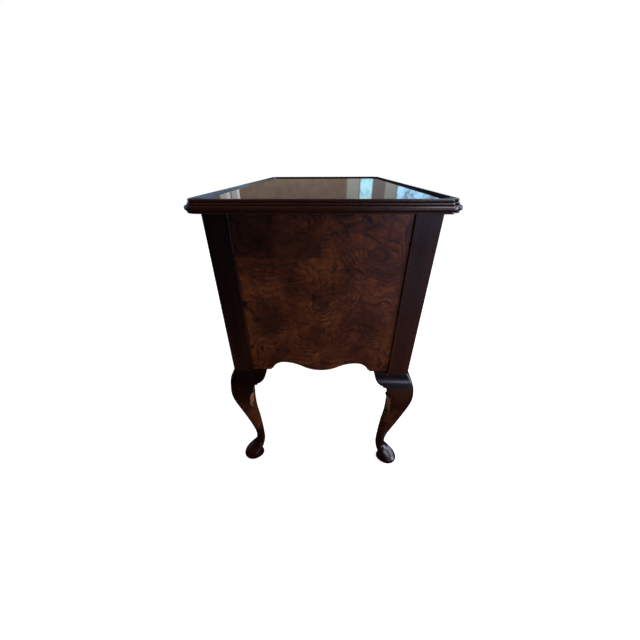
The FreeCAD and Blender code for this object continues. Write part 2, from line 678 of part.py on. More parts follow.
class Drawer:
    """One drawer in its opening, with the places of its handles."""

    def __init__(self, name, centre_x, opening_width, floor, ceiling, handle_offsets):
        self.name = name
        self.centre = centre_x
        self.half = opening_width / 2 - DRAWER_SIDE_GAP
        self.low = floor + RUNNING_GAP
        self.high = ceiling - DRAWER_TOP_GAP
        self.handles = [centre_x + offset for offset in handle_offsets]
        self.handle_z = (self.low + self.high) / 2 + HANDLE_RISE

    def block(self, inset_low, inset_high, y_low, y_high, z_low, z_high):
        """A block measured in X from the middle of the drawer."""
        return box(self.centre + inset_low, self.centre + inset_high, y_low, y_high, z_low, z_high)

    def stem_holes(self):
        holes = []
        for handle in self.handles:
            for side in (-1, 1):
                start = V(handle + side * HANDLE_SPACING / 2, FRONT_FACE, self.handle_z)
                holes.append(rod(POST_STEM_RADIUS + STEM_CLEARANCE, FRONT_THICKNESS, start, V(0, 1, 0)))
        return holes

    def bottom(self):
        reach = self.half - DRAWER_WALL + BOTTOM_GROOVE
        low = self.low + BOTTOM_LIFT
        return self.block(-reach, reach, FRONT_BACK - BOTTOM_GROOVE, DRAWER_BACK, low, low + DRAWER_BOTTOM)

    def front(self):
        """The drawer front, with a cock bead standing proud round its edges."""
        slab = self.block(-self.half, self.half, FRONT_FACE, FRONT_BACK, self.low, self.high)
        proud = FRONT_FACE - COCK_BEAD_PROUD
        frame = self.block(-self.half, self.half, proud, FRONT_FACE, self.low, self.high)
        inside = self.half - COCK_BEAD_WIDTH
        frame = frame.cut(self.block(-inside, inside, proud, FRONT_FACE,
                                     self.low + COCK_BEAD_WIDTH, self.high - COCK_BEAD_WIDTH))
        front = slab.fuse(frame).removeSplitter()
        return front.cut(self.stem_holes() + [self.bottom()])

    def sides(self):
        top = self.high - DRAWER_SIDE_DROP
        inside = self.half - DRAWER_WALL
        pair = [
            self.block(-self.half, -inside, FRONT_BACK, DRAWER_BACK, self.low, top),
            self.block(inside, self.half, FRONT_BACK, DRAWER_BACK, self.low, top),
        ]
        return [side.cut(self.bottom()) for side in pair]

    def back(self):
        inside = self.half - DRAWER_WALL
        low = self.low + BOTTOM_LIFT + DRAWER_BOTTOM
        top = self.high - DRAWER_SIDE_DROP - DRAWER_BACK_DROP
        return self.block(-inside, inside, DRAWER_BACK - DRAWER_WALL, DRAWER_BACK, low, top)

    def handle_mounts(self):
        """Backplates, posts and nuts of this drawer's handles."""
        solids = []
        for handle in self.handles:
            for solid in handle_mount():
                solid.translate(V(handle, FRONT_FACE, self.handle_z))
                solids.append(solid)
        return solids

    def bail_names(self):
        """One bail is named after the drawer; two are its left and right ones."""
        if len(self.handles) == 1:
            return [self.name + "_bail"]
        return [self.name + "_bail_left", self.name + "_bail_right"]

    def nodes(self):
        parts = {
            self.name + "_front": self.front(),
            self.name + "_sides": self.sides(),
            self.name + "_back": self.back(),
            self.name + "_bottom": self.bottom(),
            self.name + "_handle_mounts": self.handle_mounts(),
        }
        for name, handle in zip(self.bail_names(), self.handles):
            loop = bail()
            loop.translate(V(handle, FRONT_FACE, self.handle_z))
            parts[name] = loop
        return parts


def drawers():
    side_width = OPENING_HALF - PARTITION_OUTER
    spread = (-LONG_DRAWER_HANDLE_X, LONG_DRAWER_HANDLE_X)
    return [
        Drawer("long_drawer", 0.0, 2 * OPENING_HALF, LONG_BOTTOM, LONG_TOP, spread),
        Drawer("left_drawer", -SIDE_DRAWER_X, side_width, SIDE_BOTTOM, SMALL_TOP, (0.0,)),
        Drawer("centre_drawer", 0.0, CENTRE_OPENING_WIDTH, CENTRE_BOTTOM, SMALL_TOP, (0.0,)),
        Drawer("right_drawer", SIDE_DRAWER_X, side_width, SIDE_BOTTOM, SMALL_TOP, (0.0,)),
    ]


# ---- Handles, drawn with the drawer's face at Y = 0 and the posts' axes at Z = 0 ----

def pivot_y():
    """Distance of the bail's axis in front of the drawer's face."""
    return -(PLATE_THICKNESS + POST_STANDOFF)


def backplate():
    """A bat-wing plate: rings round the posts, a waisted middle, a peak and a drop."""

    def place(u, v):
        return V(u, 0, v)

    post = HANDLE_SPACING / 2
    end = post + PLATE_WING
    outline = Outline(place, (0.0, PLATE_HALF_HEIGHT))
    outline.arc(PLATE_BROW, PLATE_SHOULDER)
    outline.arc((post, PLATE_RING_TOP), (end, PLATE_WING_HALF))
    outline.arc((end - PLATE_WING_DENT, 0.0), (end, -PLATE_WING_HALF))
    outline.arc((post, -PLATE_RING_BOTTOM), (PLATE_HIP[0], -PLATE_HIP[1]))
    outline.arc((PLATE_CHIN[0], -PLATE_CHIN[1]), (0.0, -PLATE_HALF_HEIGHT))
    half = outline.closed_face().extrude(V(0, -PLATE_THICKNESS, 0))
    return mirrored_halves(half, V(1, 0, 0))


def handle_mount():
    """A backplate with its two posts, whose balls carry the bail, and the nuts behind."""
    plate = backplate()
    solids = []
    pivot = pivot_y()
    for side in (-1, 1):
        axis = V(side * HANDLE_SPACING / 2, pivot, 0)
        length = FRONT_THICKNESS + POST_THREAD_LENGTH - pivot
        stem = rod(POST_STEM_RADIUS, length, axis, V(0, 1, 0))
        hole = rod(BAIL_RADIUS + BAIL_FIT, 2 * POST_BALL_RADIUS,
                   axis - V(POST_BALL_RADIUS, 0, 0), V(1, 0, 0))
        post = Part.makeSphere(POST_BALL_RADIUS, axis).fuse(stem).cut(hole)
        plate = plate.cut(rod(POST_STEM_RADIUS + STEM_CLEARANCE, -2 * pivot, axis, V(0, 1, 0)))
        half = NUT_WIDTH / 2
        nut = box(axis.x - half, axis.x + half, FRONT_THICKNESS, FRONT_THICKNESS + NUT_HEIGHT, -half, half)
        bore = rod(POST_STEM_RADIUS + STEM_CLEARANCE, length, axis, V(0, 1, 0))
        solids += [post, nut.cut(bore)]
    return [plate] + solids


def bail():
    """The swinging handle: a round bar bent to a loop, its ends turned in through the posts."""
    pin = HANDLE_SPACING / 2 - POST_BALL_RADIUS
    arm = HANDLE_SPACING / 2 + BAIL_ARM_OFFSET
    bend = BAIL_BEND
    corner = BAIL_CORNER
    pivot = pivot_y()
    path = Outline(lambda u, v: V(u, pivot, v), (-pin, 0.0))
    path.line((-arm + bend, 0.0))
    path.arc((-arm + ROUNDING * bend, -ROUNDING * bend), (-arm, -bend))
    path.line((-arm, -BAIL_DROP + corner))
    path.arc((-arm + ROUNDING * corner, -BAIL_DROP + ROUNDING * corner), (-arm + corner, -BAIL_DROP))
    path.line((arm - corner, -BAIL_DROP))
    path.arc((arm - ROUNDING * corner, -BAIL_DROP + ROUNDING * corner), (arm, -BAIL_DROP + corner))
    path.line((arm, -bend))
    path.arc((arm - ROUNDING * bend, -ROUNDING * bend), (arm - bend, 0.0))
    path.line((pin, 0.0))
    spine = Part.Wire(path.edges)
    circle = Part.Wire(Part.makeCircle(BAIL_RADIUS, V(-pin, pivot, 0), V(1, 0, 0)))
    return spine.makePipeShell([circle], True, False)


# ---- All pieces ----

def all_nodes():
    nodes = {
        "glass_top": recess_plate(GLASS_BOTTOM, GLASS_BOTTOM + GLASS_THICKNESS, GLASS_CLEARANCE),
        "top_board": top_board(),
        "top_screws": top_screws(),
        "side_panel_left": side_panel(-1),
        "side_panel_right": side_panel(1),
        "back_panel": back_panel(),
        "top_rail": top_rail(),
        "rear_rail": rear_rail(),
        "middle_rail": middle_rail(),
        "front_apron": front_apron(),
        "drawer_partitions": partitions(),
        "long_drawer_runners": long_drawer_runners(),
        "long_drawer_kickers": long_drawer_kickers(),
        "small_drawer_runners": small_drawer_runners(),
        "drawer_guides": drawer_guides(),
        "drawer_stops": drawer_stops(),
        "glue_blocks": glue_blocks(),
        "leg_dowels": leg_dowels(),
    }
    nodes.update(top_moulding())
    for corner, sides in CORNERS.items():
        nodes["post_" + corner] = corner_post(*sides)
        nodes["leg_" + corner] = leg(*sides)
        nodes["knee_brackets_" + corner] = knee_brackets(*sides)
    for drawer in drawers():
        nodes.update(drawer.nodes())
    return nodes


def main():
    os.makedirs("parts", exist_ok=True)
    for name, shape in all_nodes().items():
        if isinstance(shape, list):
            shape = Part.makeCompound(shape)
        shape.exportStep(os.path.join("parts", name + ".step"))
        print(name, len(shape.Solids), "solids", round(shape.Volume / 1000, 1), "cm3", shape.isValid())


main()
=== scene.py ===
"""Looks of a walnut lowboy: its finishes, carved legs, brasses, stage light and camera."""

import json
import logging
import math
from dataclasses import dataclass, field, replace
from enum import Enum
from typing import Any, Iterable, Sequence

import bmesh
import bpy
from mathutils import Matrix, Vector
from mathutils.kdtree import KDTree

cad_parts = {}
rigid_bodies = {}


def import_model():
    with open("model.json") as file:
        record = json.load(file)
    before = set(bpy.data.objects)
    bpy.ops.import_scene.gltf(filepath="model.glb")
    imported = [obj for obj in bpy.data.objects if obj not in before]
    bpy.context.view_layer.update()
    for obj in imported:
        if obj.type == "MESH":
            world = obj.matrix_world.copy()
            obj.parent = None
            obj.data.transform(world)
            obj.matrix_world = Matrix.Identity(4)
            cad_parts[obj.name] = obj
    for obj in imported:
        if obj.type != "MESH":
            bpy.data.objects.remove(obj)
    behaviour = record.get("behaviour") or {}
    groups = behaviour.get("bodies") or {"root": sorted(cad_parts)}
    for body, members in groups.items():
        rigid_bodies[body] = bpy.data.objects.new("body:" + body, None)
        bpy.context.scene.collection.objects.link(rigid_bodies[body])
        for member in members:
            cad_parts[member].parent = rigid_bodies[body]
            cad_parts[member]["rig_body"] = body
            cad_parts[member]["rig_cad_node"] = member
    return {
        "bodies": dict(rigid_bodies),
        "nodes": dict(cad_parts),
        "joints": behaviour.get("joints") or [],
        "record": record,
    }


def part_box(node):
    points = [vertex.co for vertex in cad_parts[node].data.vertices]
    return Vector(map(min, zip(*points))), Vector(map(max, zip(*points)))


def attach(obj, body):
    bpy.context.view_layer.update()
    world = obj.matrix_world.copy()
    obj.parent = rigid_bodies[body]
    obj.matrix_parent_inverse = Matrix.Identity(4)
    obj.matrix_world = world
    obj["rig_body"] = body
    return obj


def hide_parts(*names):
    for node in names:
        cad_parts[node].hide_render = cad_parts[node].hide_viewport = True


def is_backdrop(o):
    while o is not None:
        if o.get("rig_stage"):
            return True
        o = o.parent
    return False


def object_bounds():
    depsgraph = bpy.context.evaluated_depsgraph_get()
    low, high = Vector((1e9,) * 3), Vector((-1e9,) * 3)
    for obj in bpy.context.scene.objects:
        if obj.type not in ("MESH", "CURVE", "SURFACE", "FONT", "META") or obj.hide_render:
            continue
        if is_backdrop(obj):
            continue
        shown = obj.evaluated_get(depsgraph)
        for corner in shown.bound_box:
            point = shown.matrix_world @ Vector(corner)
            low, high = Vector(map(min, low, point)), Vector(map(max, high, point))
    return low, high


LOG = logging.getLogger("lowboy")
IMAGE_SIDE = 640.0
SENSOR_WIDTH = 36.0
CARVED_AWAY = "carved_away"
MERGE_DISTANCE = 0.00001
FLAT_ANGLE = 0.4
HAIRLINE = 0.0002

Colour = tuple[float, float, float]
Point = tuple[float, float, float]
Item = bpy.types.Object
Material = bpy.types.Material
Socket = bpy.types.NodeSocket
Tree = bpy.types.NodeTree


class Grain(Enum):
    """The direction in which a piece's grain runs."""

    ALONG_X = "x"
    ALONG_Y = "y"
    ALONG_Z = "z"


class Corner(Enum):
    """A corner of the case, with the sides in X and Y that it lies on."""

    FRONT_LEFT = ("front_left", -1, -1)
    FRONT_RIGHT = ("front_right", 1, -1)
    REAR_LEFT = ("rear_left", -1, 1)
    REAR_RIGHT = ("rear_right", 1, 1)

    @property
    def label(self) -> str:
        """The corner's name, as the nodes have it."""
        return self.value[0]

    @property
    def sides(self) -> tuple[int, int]:
        """The signs of X and Y at this corner."""
        return self.value[1], self.value[2]


# ---- Node trees ----

class NodeBench:
    """Adds nodes to one node tree and links them."""

    def __init__(self, tree: Tree) -> None:
        """Work on the given tree."""
        self.tree = tree

    def add(self, kind: str, inputs: dict[Any, Any] | None = None, **settings: Any) -> bpy.types.Node:
        """Add one node.

        Args:
            kind: The node's type name.
            inputs: Values or sockets for its inputs, by name or number.
            settings: Values for its own properties.

        Returns:
            The new node.
        """
        node = self.tree.nodes.new(kind)
        for name, value in settings.items():
            setattr(node, name, value)
        for name, value in (inputs or {}).items():
            self.feed(node.inputs[name], value)
        return node

    def feed(self, socket: Socket, value: Any) -> None:
        """Link a socket or node to an input, or set the input's value.

        Args:
            socket: The input.
            value: A socket, a node or a plain value.
        """
        if isinstance(value, bpy.types.Node):
            value = value.outputs[0]
        if isinstance(value, Socket):
            self.tree.links.new(value, socket)
        else:
            socket.default_value = value

    def maths(self, operation: str, *values: Any) -> Socket:
        """One Math node on up to three values."""
        return self.add("ShaderNodeMath", dict(enumerate(values)), operation=operation).outputs[0]

    def times(self, first: Any, second: Any) -> Socket:
        """The product of two values."""
        return self.maths("MULTIPLY", first, second)

    def split(self, vector: Any) -> bpy.types.bpy_prop_collection:
        """The three values of a vector, as outputs named X, Y and Z."""
        return self.add("ShaderNodeSeparateXYZ", {0: vector}).outputs

    def joined(self, x: Any, y: Any, z: Any) -> Socket:
        """A vector from three values."""
        return self.add("ShaderNodeCombineXYZ", {"X": x, "Y": y, "Z": z}).outputs[0]

    def vectors(self, operation: str, *values: Any) -> Socket:
        """One Vector Math node; a distance or a dot product comes out as a value."""
        node = self.add("ShaderNodeVectorMath", dict(enumerate(values)), operation=operation)
        return node.outputs["Value" if operation in ("DISTANCE", "DOT_PRODUCT") else "Vector"]

    def scaled(self, vector: Any, scale: Point) -> Socket:
        """A vector times one factor for each axis."""
        return self.vectors("MULTIPLY", vector, scale)

    def noise(self, vector: Any, scale: float, detail: float = 2.0, roughness: float = 0.5) -> bpy.types.Node:
        """A Noise Texture node."""
        inputs = {"Vector": vector, "Scale": scale, "Detail": detail, "Roughness": roughness}
        return self.add("ShaderNodeTexNoise", inputs)

    def drift(self, vector: Any, scale: float, detail: float, roughness: float = 0.5) -> Socket:
        """A slow noise that pushes to both sides of nothing on each axis."""
        return self.vectors("SUBTRACT", self.noise(vector, scale, detail, roughness).outputs["Color"],
                            (0.5, 0.5, 0.5))

    def stretched(self, vector: Any, length: Any) -> Socket:
        """A vector times one value."""
        return self.add("ShaderNodeVectorMath", {0: vector, "Scale": length}, operation="SCALE").outputs[0]

    def blend(self, factor: Any, first: Any, second: Any, mode: str = "MIX") -> Socket:
        """Mix two colours.

        Args:
            factor: How much of the second colour shows.
            first: The first colour.
            second: The second colour.
            mode: How they mix, as the Mix node names it.

        Returns:
            The mixed colour.
        """
        node = self.add("ShaderNodeMix", data_type="RGBA", blend_type=mode)
        for number, value in ((0, factor), (6, first), (7, second)):
            if number and isinstance(value, tuple):
                value = (*value, 1.0)
            self.feed(node.inputs[number], value)
        return node.outputs[2]

    def blend_values(self, factor: Any, first: Any, second: Any) -> Socket:
        """Mix two values."""
        node = self.add("ShaderNodeMix", {0: factor, 2: first, 3: second}, data_type="FLOAT")
        return node.outputs[0]

    def ramp(self, factor: Any, stops: Sequence[tuple[float, Colour]]) -> Socket:
        """A Color Ramp with the given places and colours.

        Args:
            factor: The value to look up.
            stops: The place and the colour of each stop.

        Returns:
            The colour.
        """
        node = self.add("ShaderNodeValToRGB", {0: factor})
        elements = node.color_ramp.elements
        while len(elements) < len(stops):
            elements.new(1.0)
        for element, (place, colour) in zip(elements, stops):
            element.position = place
            element.color = (*colour, 1.0)
        return node.outputs[0]

    def step(self, value: Any, low: float, high: float) -> Socket:
        """A soft step from 0 at low to 1 at high."""
        inputs = {"Value": value, "From Min": low, "From Max": high}
        return self.add("ShaderNodeMapRange", inputs, interpolation_type="SMOOTHSTEP").outputs[0]


class GroupMaker:
    """Builds one shader node group with named inputs and outputs."""

    def __init__(self, name: str, inputs: dict[str, Any], outputs: Sequence[str]) -> None:
        """Open a group.

        Args:
            name: The group's name.
            inputs: A default for each input; a tuple makes a vector.
            outputs: The names of its outputs, which are all plain values.
        """
        self.tree = bpy.data.node_groups.new(name, "ShaderNodeTree")
        for label, value in inputs.items():
            kind = "NodeSocketVector" if isinstance(value, tuple) else "NodeSocketFloat"
            socket = self.tree.interface.new_socket(label, in_out="INPUT", socket_type=kind)
            socket.default_value = value
        for label in outputs:
            self.tree.interface.new_socket(label, in_out="OUTPUT", socket_type="NodeSocketFloat")
        self.bench = NodeBench(self.tree)
        self.given = self.tree.nodes.new("NodeGroupInput").outputs
        self.result = self.tree.nodes.new("NodeGroupOutput").inputs

    def close(self, **results: Any) -> Tree:
        """Feed the group's outputs and return its tree.

        Args:
            results: What each output gets.

        Returns:
            The group's tree.
        """
        for label, value in results.items():
            self.bench.feed(self.result[label], value)
        return self.tree


@dataclass(frozen=True)
class StraightGrain:
    """Plain timber whose grain runs along the vector's X: broad tone, fine fibres and pores."""

    wander: float = 0.012
    broad: Point = (2.5, 42.0, 42.0)
    fine: Point = (9.0, 420.0, 420.0)
    pore: Point = (120.0, 2300.0, 2300.0)
    fibre_share: float = 0.38
    pore_limits: tuple[float, float] = (0.62, 0.72)

    def tree(self) -> Tree:
        """The node group.

        Returns:
            The group's tree.
        """
        maker = GroupMaker("straight_grain", {"Vector": (0.0, 0.0, 0.0), "Wander": self.wander},
                           ("Tone", "Fibres", "Pores"))
        bench, vector = maker.bench, maker.given["Vector"]
        drift = bench.stretched(bench.drift(vector, 4.0, 2.0), maker.given["Wander"])
        bent = bench.vectors("ADD", vector, drift)
        broad = bench.noise(bench.scaled(bent, self.broad), 1.0, 4.0, 0.6).outputs[0]
        fibres = bench.noise(bench.scaled(bent, self.fine), 1.0, 3.0, 0.65).outputs[0]
        tone = bench.blend_values(self.fibre_share, broad, fibres)
        pores = bench.noise(bench.scaled(bent, self.pore), 1.0, 1.0).outputs[0]
        return maker.close(Tone=tone, Fibres=fibres, Pores=bench.step(pores, *self.pore_limits))


@dataclass(frozen=True)
class BurlFigure:
    """Burl veneer: ragged growth lines round slow hills, with mottling, curl and pin knots."""

    bend: float = 0.05
    slope: float = 3.6
    raggedness: float = 0.045
    lines_per_height: float = 13.0
    shade_share: float = 0.36
    line_share: float = 0.64
    faintest: float = 0.30
    curl: Point = (45.0, 190.0, 45.0)
    knots_apart: float = 30.0
    knot_radii: tuple[float, float] = (0.11, 0.04)

    def tree(self) -> Tree:
        """The node group.

        Returns:
            The group's tree.
        """
        maker = GroupMaker("burl_figure", {"Vector": (0.0, 0.0, 0.0), "Bias": 0.0},
                           ("Tone", "Lines", "Curl", "Knots"))
        bench, vector = maker.bench, maker.given["Vector"]
        bent = bench.vectors("ADD", vector, bench.stretched(bench.drift(vector, 11.0, 3.0, 0.55), self.bend))
        lines = self.lines(bench, vector, bent, maker.given["Bias"])
        mottle = bench.noise(bent, 130.0, 4.0, 0.65).outputs[0]
        breadth = bench.noise(vector, 15.0, 3.0, 0.6).outputs[0]
        curl = bench.noise(bench.scaled(bent, self.curl), 1.0, 3.0, 0.6).outputs[0]
        cells = bench.add("ShaderNodeTexVoronoi", {"Vector": bent, "Scale": self.knots_apart})
        chance = bench.add("ShaderNodeSeparateColor", {0: cells.outputs["Color"]}).outputs[0]
        near = bench.step(cells.outputs["Distance"], *self.knot_radii)
        knots = bench.times(near, bench.step(chance, 0.88, 0.90))
        return maker.close(Tone=bench.blend_values(0.5, breadth, mottle), Lines=lines, Curl=curl, Knots=knots)

    def lines(self, bench: NodeBench, vector: Any, bent: Any, bias: Any) -> Socket:
        """Growth lines: a soft shade that ends in a thin dark line, here strong and there faint.

        Args:
            bench: The group's bench.
            vector: The place on the leaf.
            bent: The same place, pushed by the slow drift.
            bias: What is added to the figure's height.

        Returns:
            How dark the lines are.
        """
        hills = bench.noise(bent, 8.5, 2.0, 0.42).outputs[0]
        hills = bench.maths("MULTIPLY_ADD", bench.split(bent)["Y"], self.slope, hills)
        ragged = bench.noise(vector, 90.0, 2.0, 0.6).outputs[0]
        height = bench.maths("ADD", bench.maths("MULTIPLY_ADD", ragged, self.raggedness, hills), bias)
        saw = bench.maths("FRACT", bench.times(height, self.lines_per_height))
        shade = bench.times(bench.step(saw, 0.20, 0.90), self.shade_share)
        thin = bench.times(bench.step(saw, 0.70, 0.88), self.line_share)
        lines = bench.times(bench.maths("ADD", shade, thin), bench.step(saw, 1.0, 0.95))
        presence = bench.step(bench.noise(vector, 18.0, 3.0).outputs[0], 0.38, 0.58)
        strength = bench.maths("MULTIPLY_ADD", presence, 1.0 - self.faintest, self.faintest)
        return bench.times(lines, strength)


def edge_group() -> Tree:
    """Where a piece's edges are rubbed, and where its corners and hollows are drawn darker: painted shade,
    with old polish.

    Returns:
        The group's tree.
    """
    maker = GroupMaker("edges_and_corners", {"Radius": 0.003, "Reach": 0.012}, ("Rubbed", "ShadeAndGrime"))
    bench = maker.bench
    rounded = bench.add("ShaderNodeBevel", {"Radius": maker.given["Radius"]}, samples=4)
    true_normal = bench.add("ShaderNodeNewGeometry").outputs["Normal"]
    agreement = bench.vectors("DOT_PRODUCT", rounded.outputs[0], true_normal)
    # Painted shade: ambient occlusion finds corners and hollows, which are drawn darker, with old polish.
    hollow = bench.add("ShaderNodeAmbientOcclusion", {"Distance": maker.given["Reach"]}, samples=4)
    return maker.close(Rubbed=bench.step(agreement, 0.995, 0.86),
                       ShadeAndGrime=bench.step(hollow.outputs["AO"], 0.75, 0.25))


def smudge_group() -> Tree:
    """Uneven polish: a slow change of gloss and fine rubbed scratches.

    Returns:
        The group's tree.
    """
    maker = GroupMaker("uneven_polish", {"Vector": (0.0, 0.0, 0.0)}, ("Amount",))
    bench, vector = maker.bench, maker.given["Vector"]
    slow = bench.noise(vector, 14.0, 4.0, 0.6).outputs[0]
    fine = bench.noise(bench.scaled(vector, (60.0, 700.0, 260.0)), 1.0, 2.0).outputs[0]
    return maker.close(Amount=bench.blend_values(0.3, slow, fine))


@dataclass
class Groups:
    """The node groups that several finishes share."""

    grain: Tree = field(default_factory=StraightGrain().tree)
    burl: Tree = field(default_factory=BurlFigure().tree)
    edges: Tree = field(default_factory=edge_group)
    smudge: Tree = field(default_factory=smudge_group)


class MaterialSheet(NodeBench):
    """A new material with its Principled shader, and the shared groups at hand."""

    def __init__(self, name: str, groups: Groups, **sockets: Any) -> None:
        """Open a material.

        Args:
            name: The material's name.
            groups: The shared node groups.
            sockets: Plain values for the shader's sockets, with underscores for spaces.
        """
        self.material = bpy.data.materials.new(name)
        self.material.use_nodes = True
        super().__init__(self.material.node_tree)
        self.groups = groups
        self.shader = self.tree.nodes["Principled BSDF"]
        for label, value in sockets.items():
            self.shader.inputs[label.replace("_", " ")].default_value = value
        self.place = self.add("ShaderNodeTexCoord").outputs["Object"]

    def group(self, tree: Tree, **inputs: Any) -> bpy.types.bpy_prop_collection:
        """Place a shared group and return its outputs.

        Args:
            tree: The group to place.
            inputs: What its inputs get.

        Returns:
            The placed group's outputs.
        """
        node = self.add("ShaderNodeGroup", node_tree=tree)
        for label, value in inputs.items():
            self.feed(node.inputs[label], value)
        return node.outputs

    def along(self, grain: Grain) -> Socket:
        """Object coordinates turned so that the grain runs along X.

        Args:
            grain: The direction in which the grain runs.

        Returns:
            The turned place.
        """
        turns = {Grain.ALONG_X: (0.0, 0.0, 0.0), Grain.ALONG_Y: (0.0, 0.0, math.pi / 2),
                 Grain.ALONG_Z: (0.0, math.pi / 2, 0.0)}
        return self.add("ShaderNodeMapping", {"Vector": self.place, "Rotation": turns[grain]}).outputs[0]

    def relief(self, height: Any, distance: float) -> None:
        """Feed a height to the shader's normal through a Bump node."""
        bump = self.add("ShaderNodeBump", {"Height": height, "Distance": distance, "Strength": 1.0})
        self.feed(self.shader.inputs["Normal"], bump)

    def polished(self, colour: Any, vector: Any, roughness: float, spread: float = 0.2) -> Material:
        """Feed a colour and an uneven gloss to the shader.

        Args:
            colour: The surface's colour.
            vector: The place that the gloss changes with.
            roughness: The middle of the roughness.
            spread: How far apart its ends lie.

        Returns:
            The material.
        """
        self.feed(self.shader.inputs["Base Color"], colour)
        smudge = self.group(self.groups.smudge, Vector=vector)["Amount"]
        self.feed(self.shader.inputs["Roughness"],
                  self.maths("MULTIPLY_ADD", smudge, spread, roughness - spread / 2))
        return self.material


# ---- Finishes ----

def toned(colour: Colour, share: float) -> Colour:
    """A colour at a share of its strength."""
    return tuple(share * value for value in colour)


@dataclass(frozen=True)
class PlainWood:
    """Straight-grained timber under polish, wax or nothing."""

    name: str
    dark: Colour
    middle: Colour
    light: Colour
    rubbed: Colour
    roughness: float
    pore_depth: float
    rubbed_share: float = 0.5
    # Painted light: the colour drawn in the carved hollows, as if they were lit.
    carved: Colour = (0.34, 0.150, 0.075)
    worn_heights: tuple[float, ...] = ()
    smoked_heights: tuple[float, ...] = ()
    coat: float = 0.0
    specular: float = 0.5

    def material(self, groups: Groups, grain: Grain) -> Material:
        """This timber with its grain in the given direction.

        Args:
            groups: The shared node groups.
            grain: The direction in which the grain runs.

        Returns:
            The material.
        """
        sheet = MaterialSheet(f"{self.name}_{grain.value}", groups, Coat_Weight=self.coat, Coat_Roughness=0.12,
                              Specular_IOR_Level=self.specular)
        vector = sheet.along(grain)
        figure = sheet.group(groups.grain, Vector=vector)
        colour = sheet.ramp(figure["Tone"], ((0.30, self.dark), (0.50, self.middle), (0.72, self.light)))
        colour = sheet.blend(sheet.times(figure["Pores"], 0.6), colour, self.dark)
        # Painted light: the rubbed colour laid in a patchy band on the knees and shins.
        if self.worn_heights:
            colour = sheet.blend(self.worn_band(sheet), colour, self.rubbed)
        # Painted shade: darker above a band of heights, on the leg shoulders and on the upper rear posts.
        if self.smoked_heights:
            painted_shade_band = sheet.times(sheet.step(sheet.split(sheet.place)["Z"], *self.smoked_heights), 0.8)
            colour = sheet.blend(painted_shade_band, colour, self.dark)
        edges = sheet.group(groups.edges)
        colour = sheet.blend(sheet.times(edges["Rubbed"], self.rubbed_share), colour, self.rubbed)
        # Painted shade and old polish: corners and hollows are darkened by the occlusion mask.
        colour = sheet.blend(sheet.times(edges["ShadeAndGrime"], 0.7), colour, toned(self.dark, 0.35))
        # Painted light in the carved hollows, dimmed by painted shade in their corners.
        carved = sheet.add("ShaderNodeAttribute", attribute_name=CARVED_AWAY).outputs["Fac"]
        thin = sheet.ramp(figure["Tone"], ((0.25, toned(self.carved, 0.5)), (0.75, self.carved)))
        clean = sheet.maths("MULTIPLY_ADD", edges["ShadeAndGrime"], -0.8, 0.95)
        colour = sheet.blend(sheet.times(carved, clean), colour, thin)
        depth = sheet.maths("SUBTRACT", sheet.times(figure["Fibres"], 0.3), figure["Pores"])
        sheet.relief(depth, self.pore_depth)
        return sheet.polished(colour, vector, self.roughness, spread=0.22)

    def worn_band(self, sheet: MaterialSheet) -> Socket:
        """Painted light: a patchy lighter band between four heights, for the lit knees and shins.

        Args:
            sheet: The material being made.

        Returns:
            How much painted light each place gets.
        """
        height = sheet.split(sheet.place)["Z"]
        start, full, ebb, end = self.worn_heights
        band = sheet.times(sheet.step(height, start, full), sheet.step(height, end, ebb))
        patchy = sheet.step(sheet.noise(sheet.place, 26.0, 3.0).outputs[0], 0.30, 0.72)
        return sheet.times(band, sheet.maths("MULTIPLY_ADD", patchy, 0.55, 0.15))


@dataclass(frozen=True)
class Burl:
    """Polished burl walnut veneer."""

    name: str
    line: Colour
    dark: Colour
    middle: Colour
    light: Colour
    roughness: float = 0.3

    def colour(self, sheet: MaterialSheet, vector: Any, bias: Any = 0.0) -> Socket:
        """The veneer's colour for a place on the leaf.

        Args:
            sheet: The material being made.
            vector: The place on the leaf, in metres.
            bias: What is added to the figure's height, for swirls at chosen places.

        Returns:
            The colour.
        """
        figure = sheet.group(sheet.groups.burl, Vector=vector, Bias=bias)
        colour = sheet.ramp(figure["Tone"], ((0.33, self.dark), (0.49, self.middle), (0.64, self.light)))
        curl = sheet.ramp(figure["Curl"], ((0.35, (0.70, 0.64, 0.60)), (0.62, (1.18, 1.18, 1.18))))
        colour = sheet.blend(0.7, colour, curl, "MULTIPLY")
        cloud = sheet.noise(vector, 7.5, 3.0, 0.55).outputs[0]
        cloud = sheet.ramp(cloud, ((0.36, (0.76, 0.71, 0.68)), (0.50, (1.02, 1.00, 0.98)),
                                   (0.62, (1.28, 1.25, 1.18))))
        colour = sheet.blend(1.0, colour, cloud, "MULTIPLY")
        colour = sheet.blend(figure["Lines"], colour, self.line)
        return sheet.blend(figure["Knots"], colour, self.line)


WALNUT = PlainWood("walnut", dark=(0.0040, 0.0007, 0.0005), middle=(0.0140, 0.0025, 0.0012),
                   light=(0.0340, 0.0080, 0.0032), rubbed=(0.105, 0.032, 0.0095), roughness=0.30,
                   pore_depth=0.00004, coat=0.35)
# The legs' walnut: painted light on the knees and shins, and painted shade on the shoulders.
LEG_WALNUT = replace(WALNUT, name="leg_walnut", rubbed=(0.135, 0.036, 0.0100), rubbed_share=0.12,
                     worn_heights=(0.100, 0.150, 0.200, 0.310), smoked_heights=(0.322, 0.340), roughness=0.24)
REAR_LEG_WALNUT = replace(LEG_WALNUT, name="rear_leg_walnut", coat=0.15, specular=0.28)
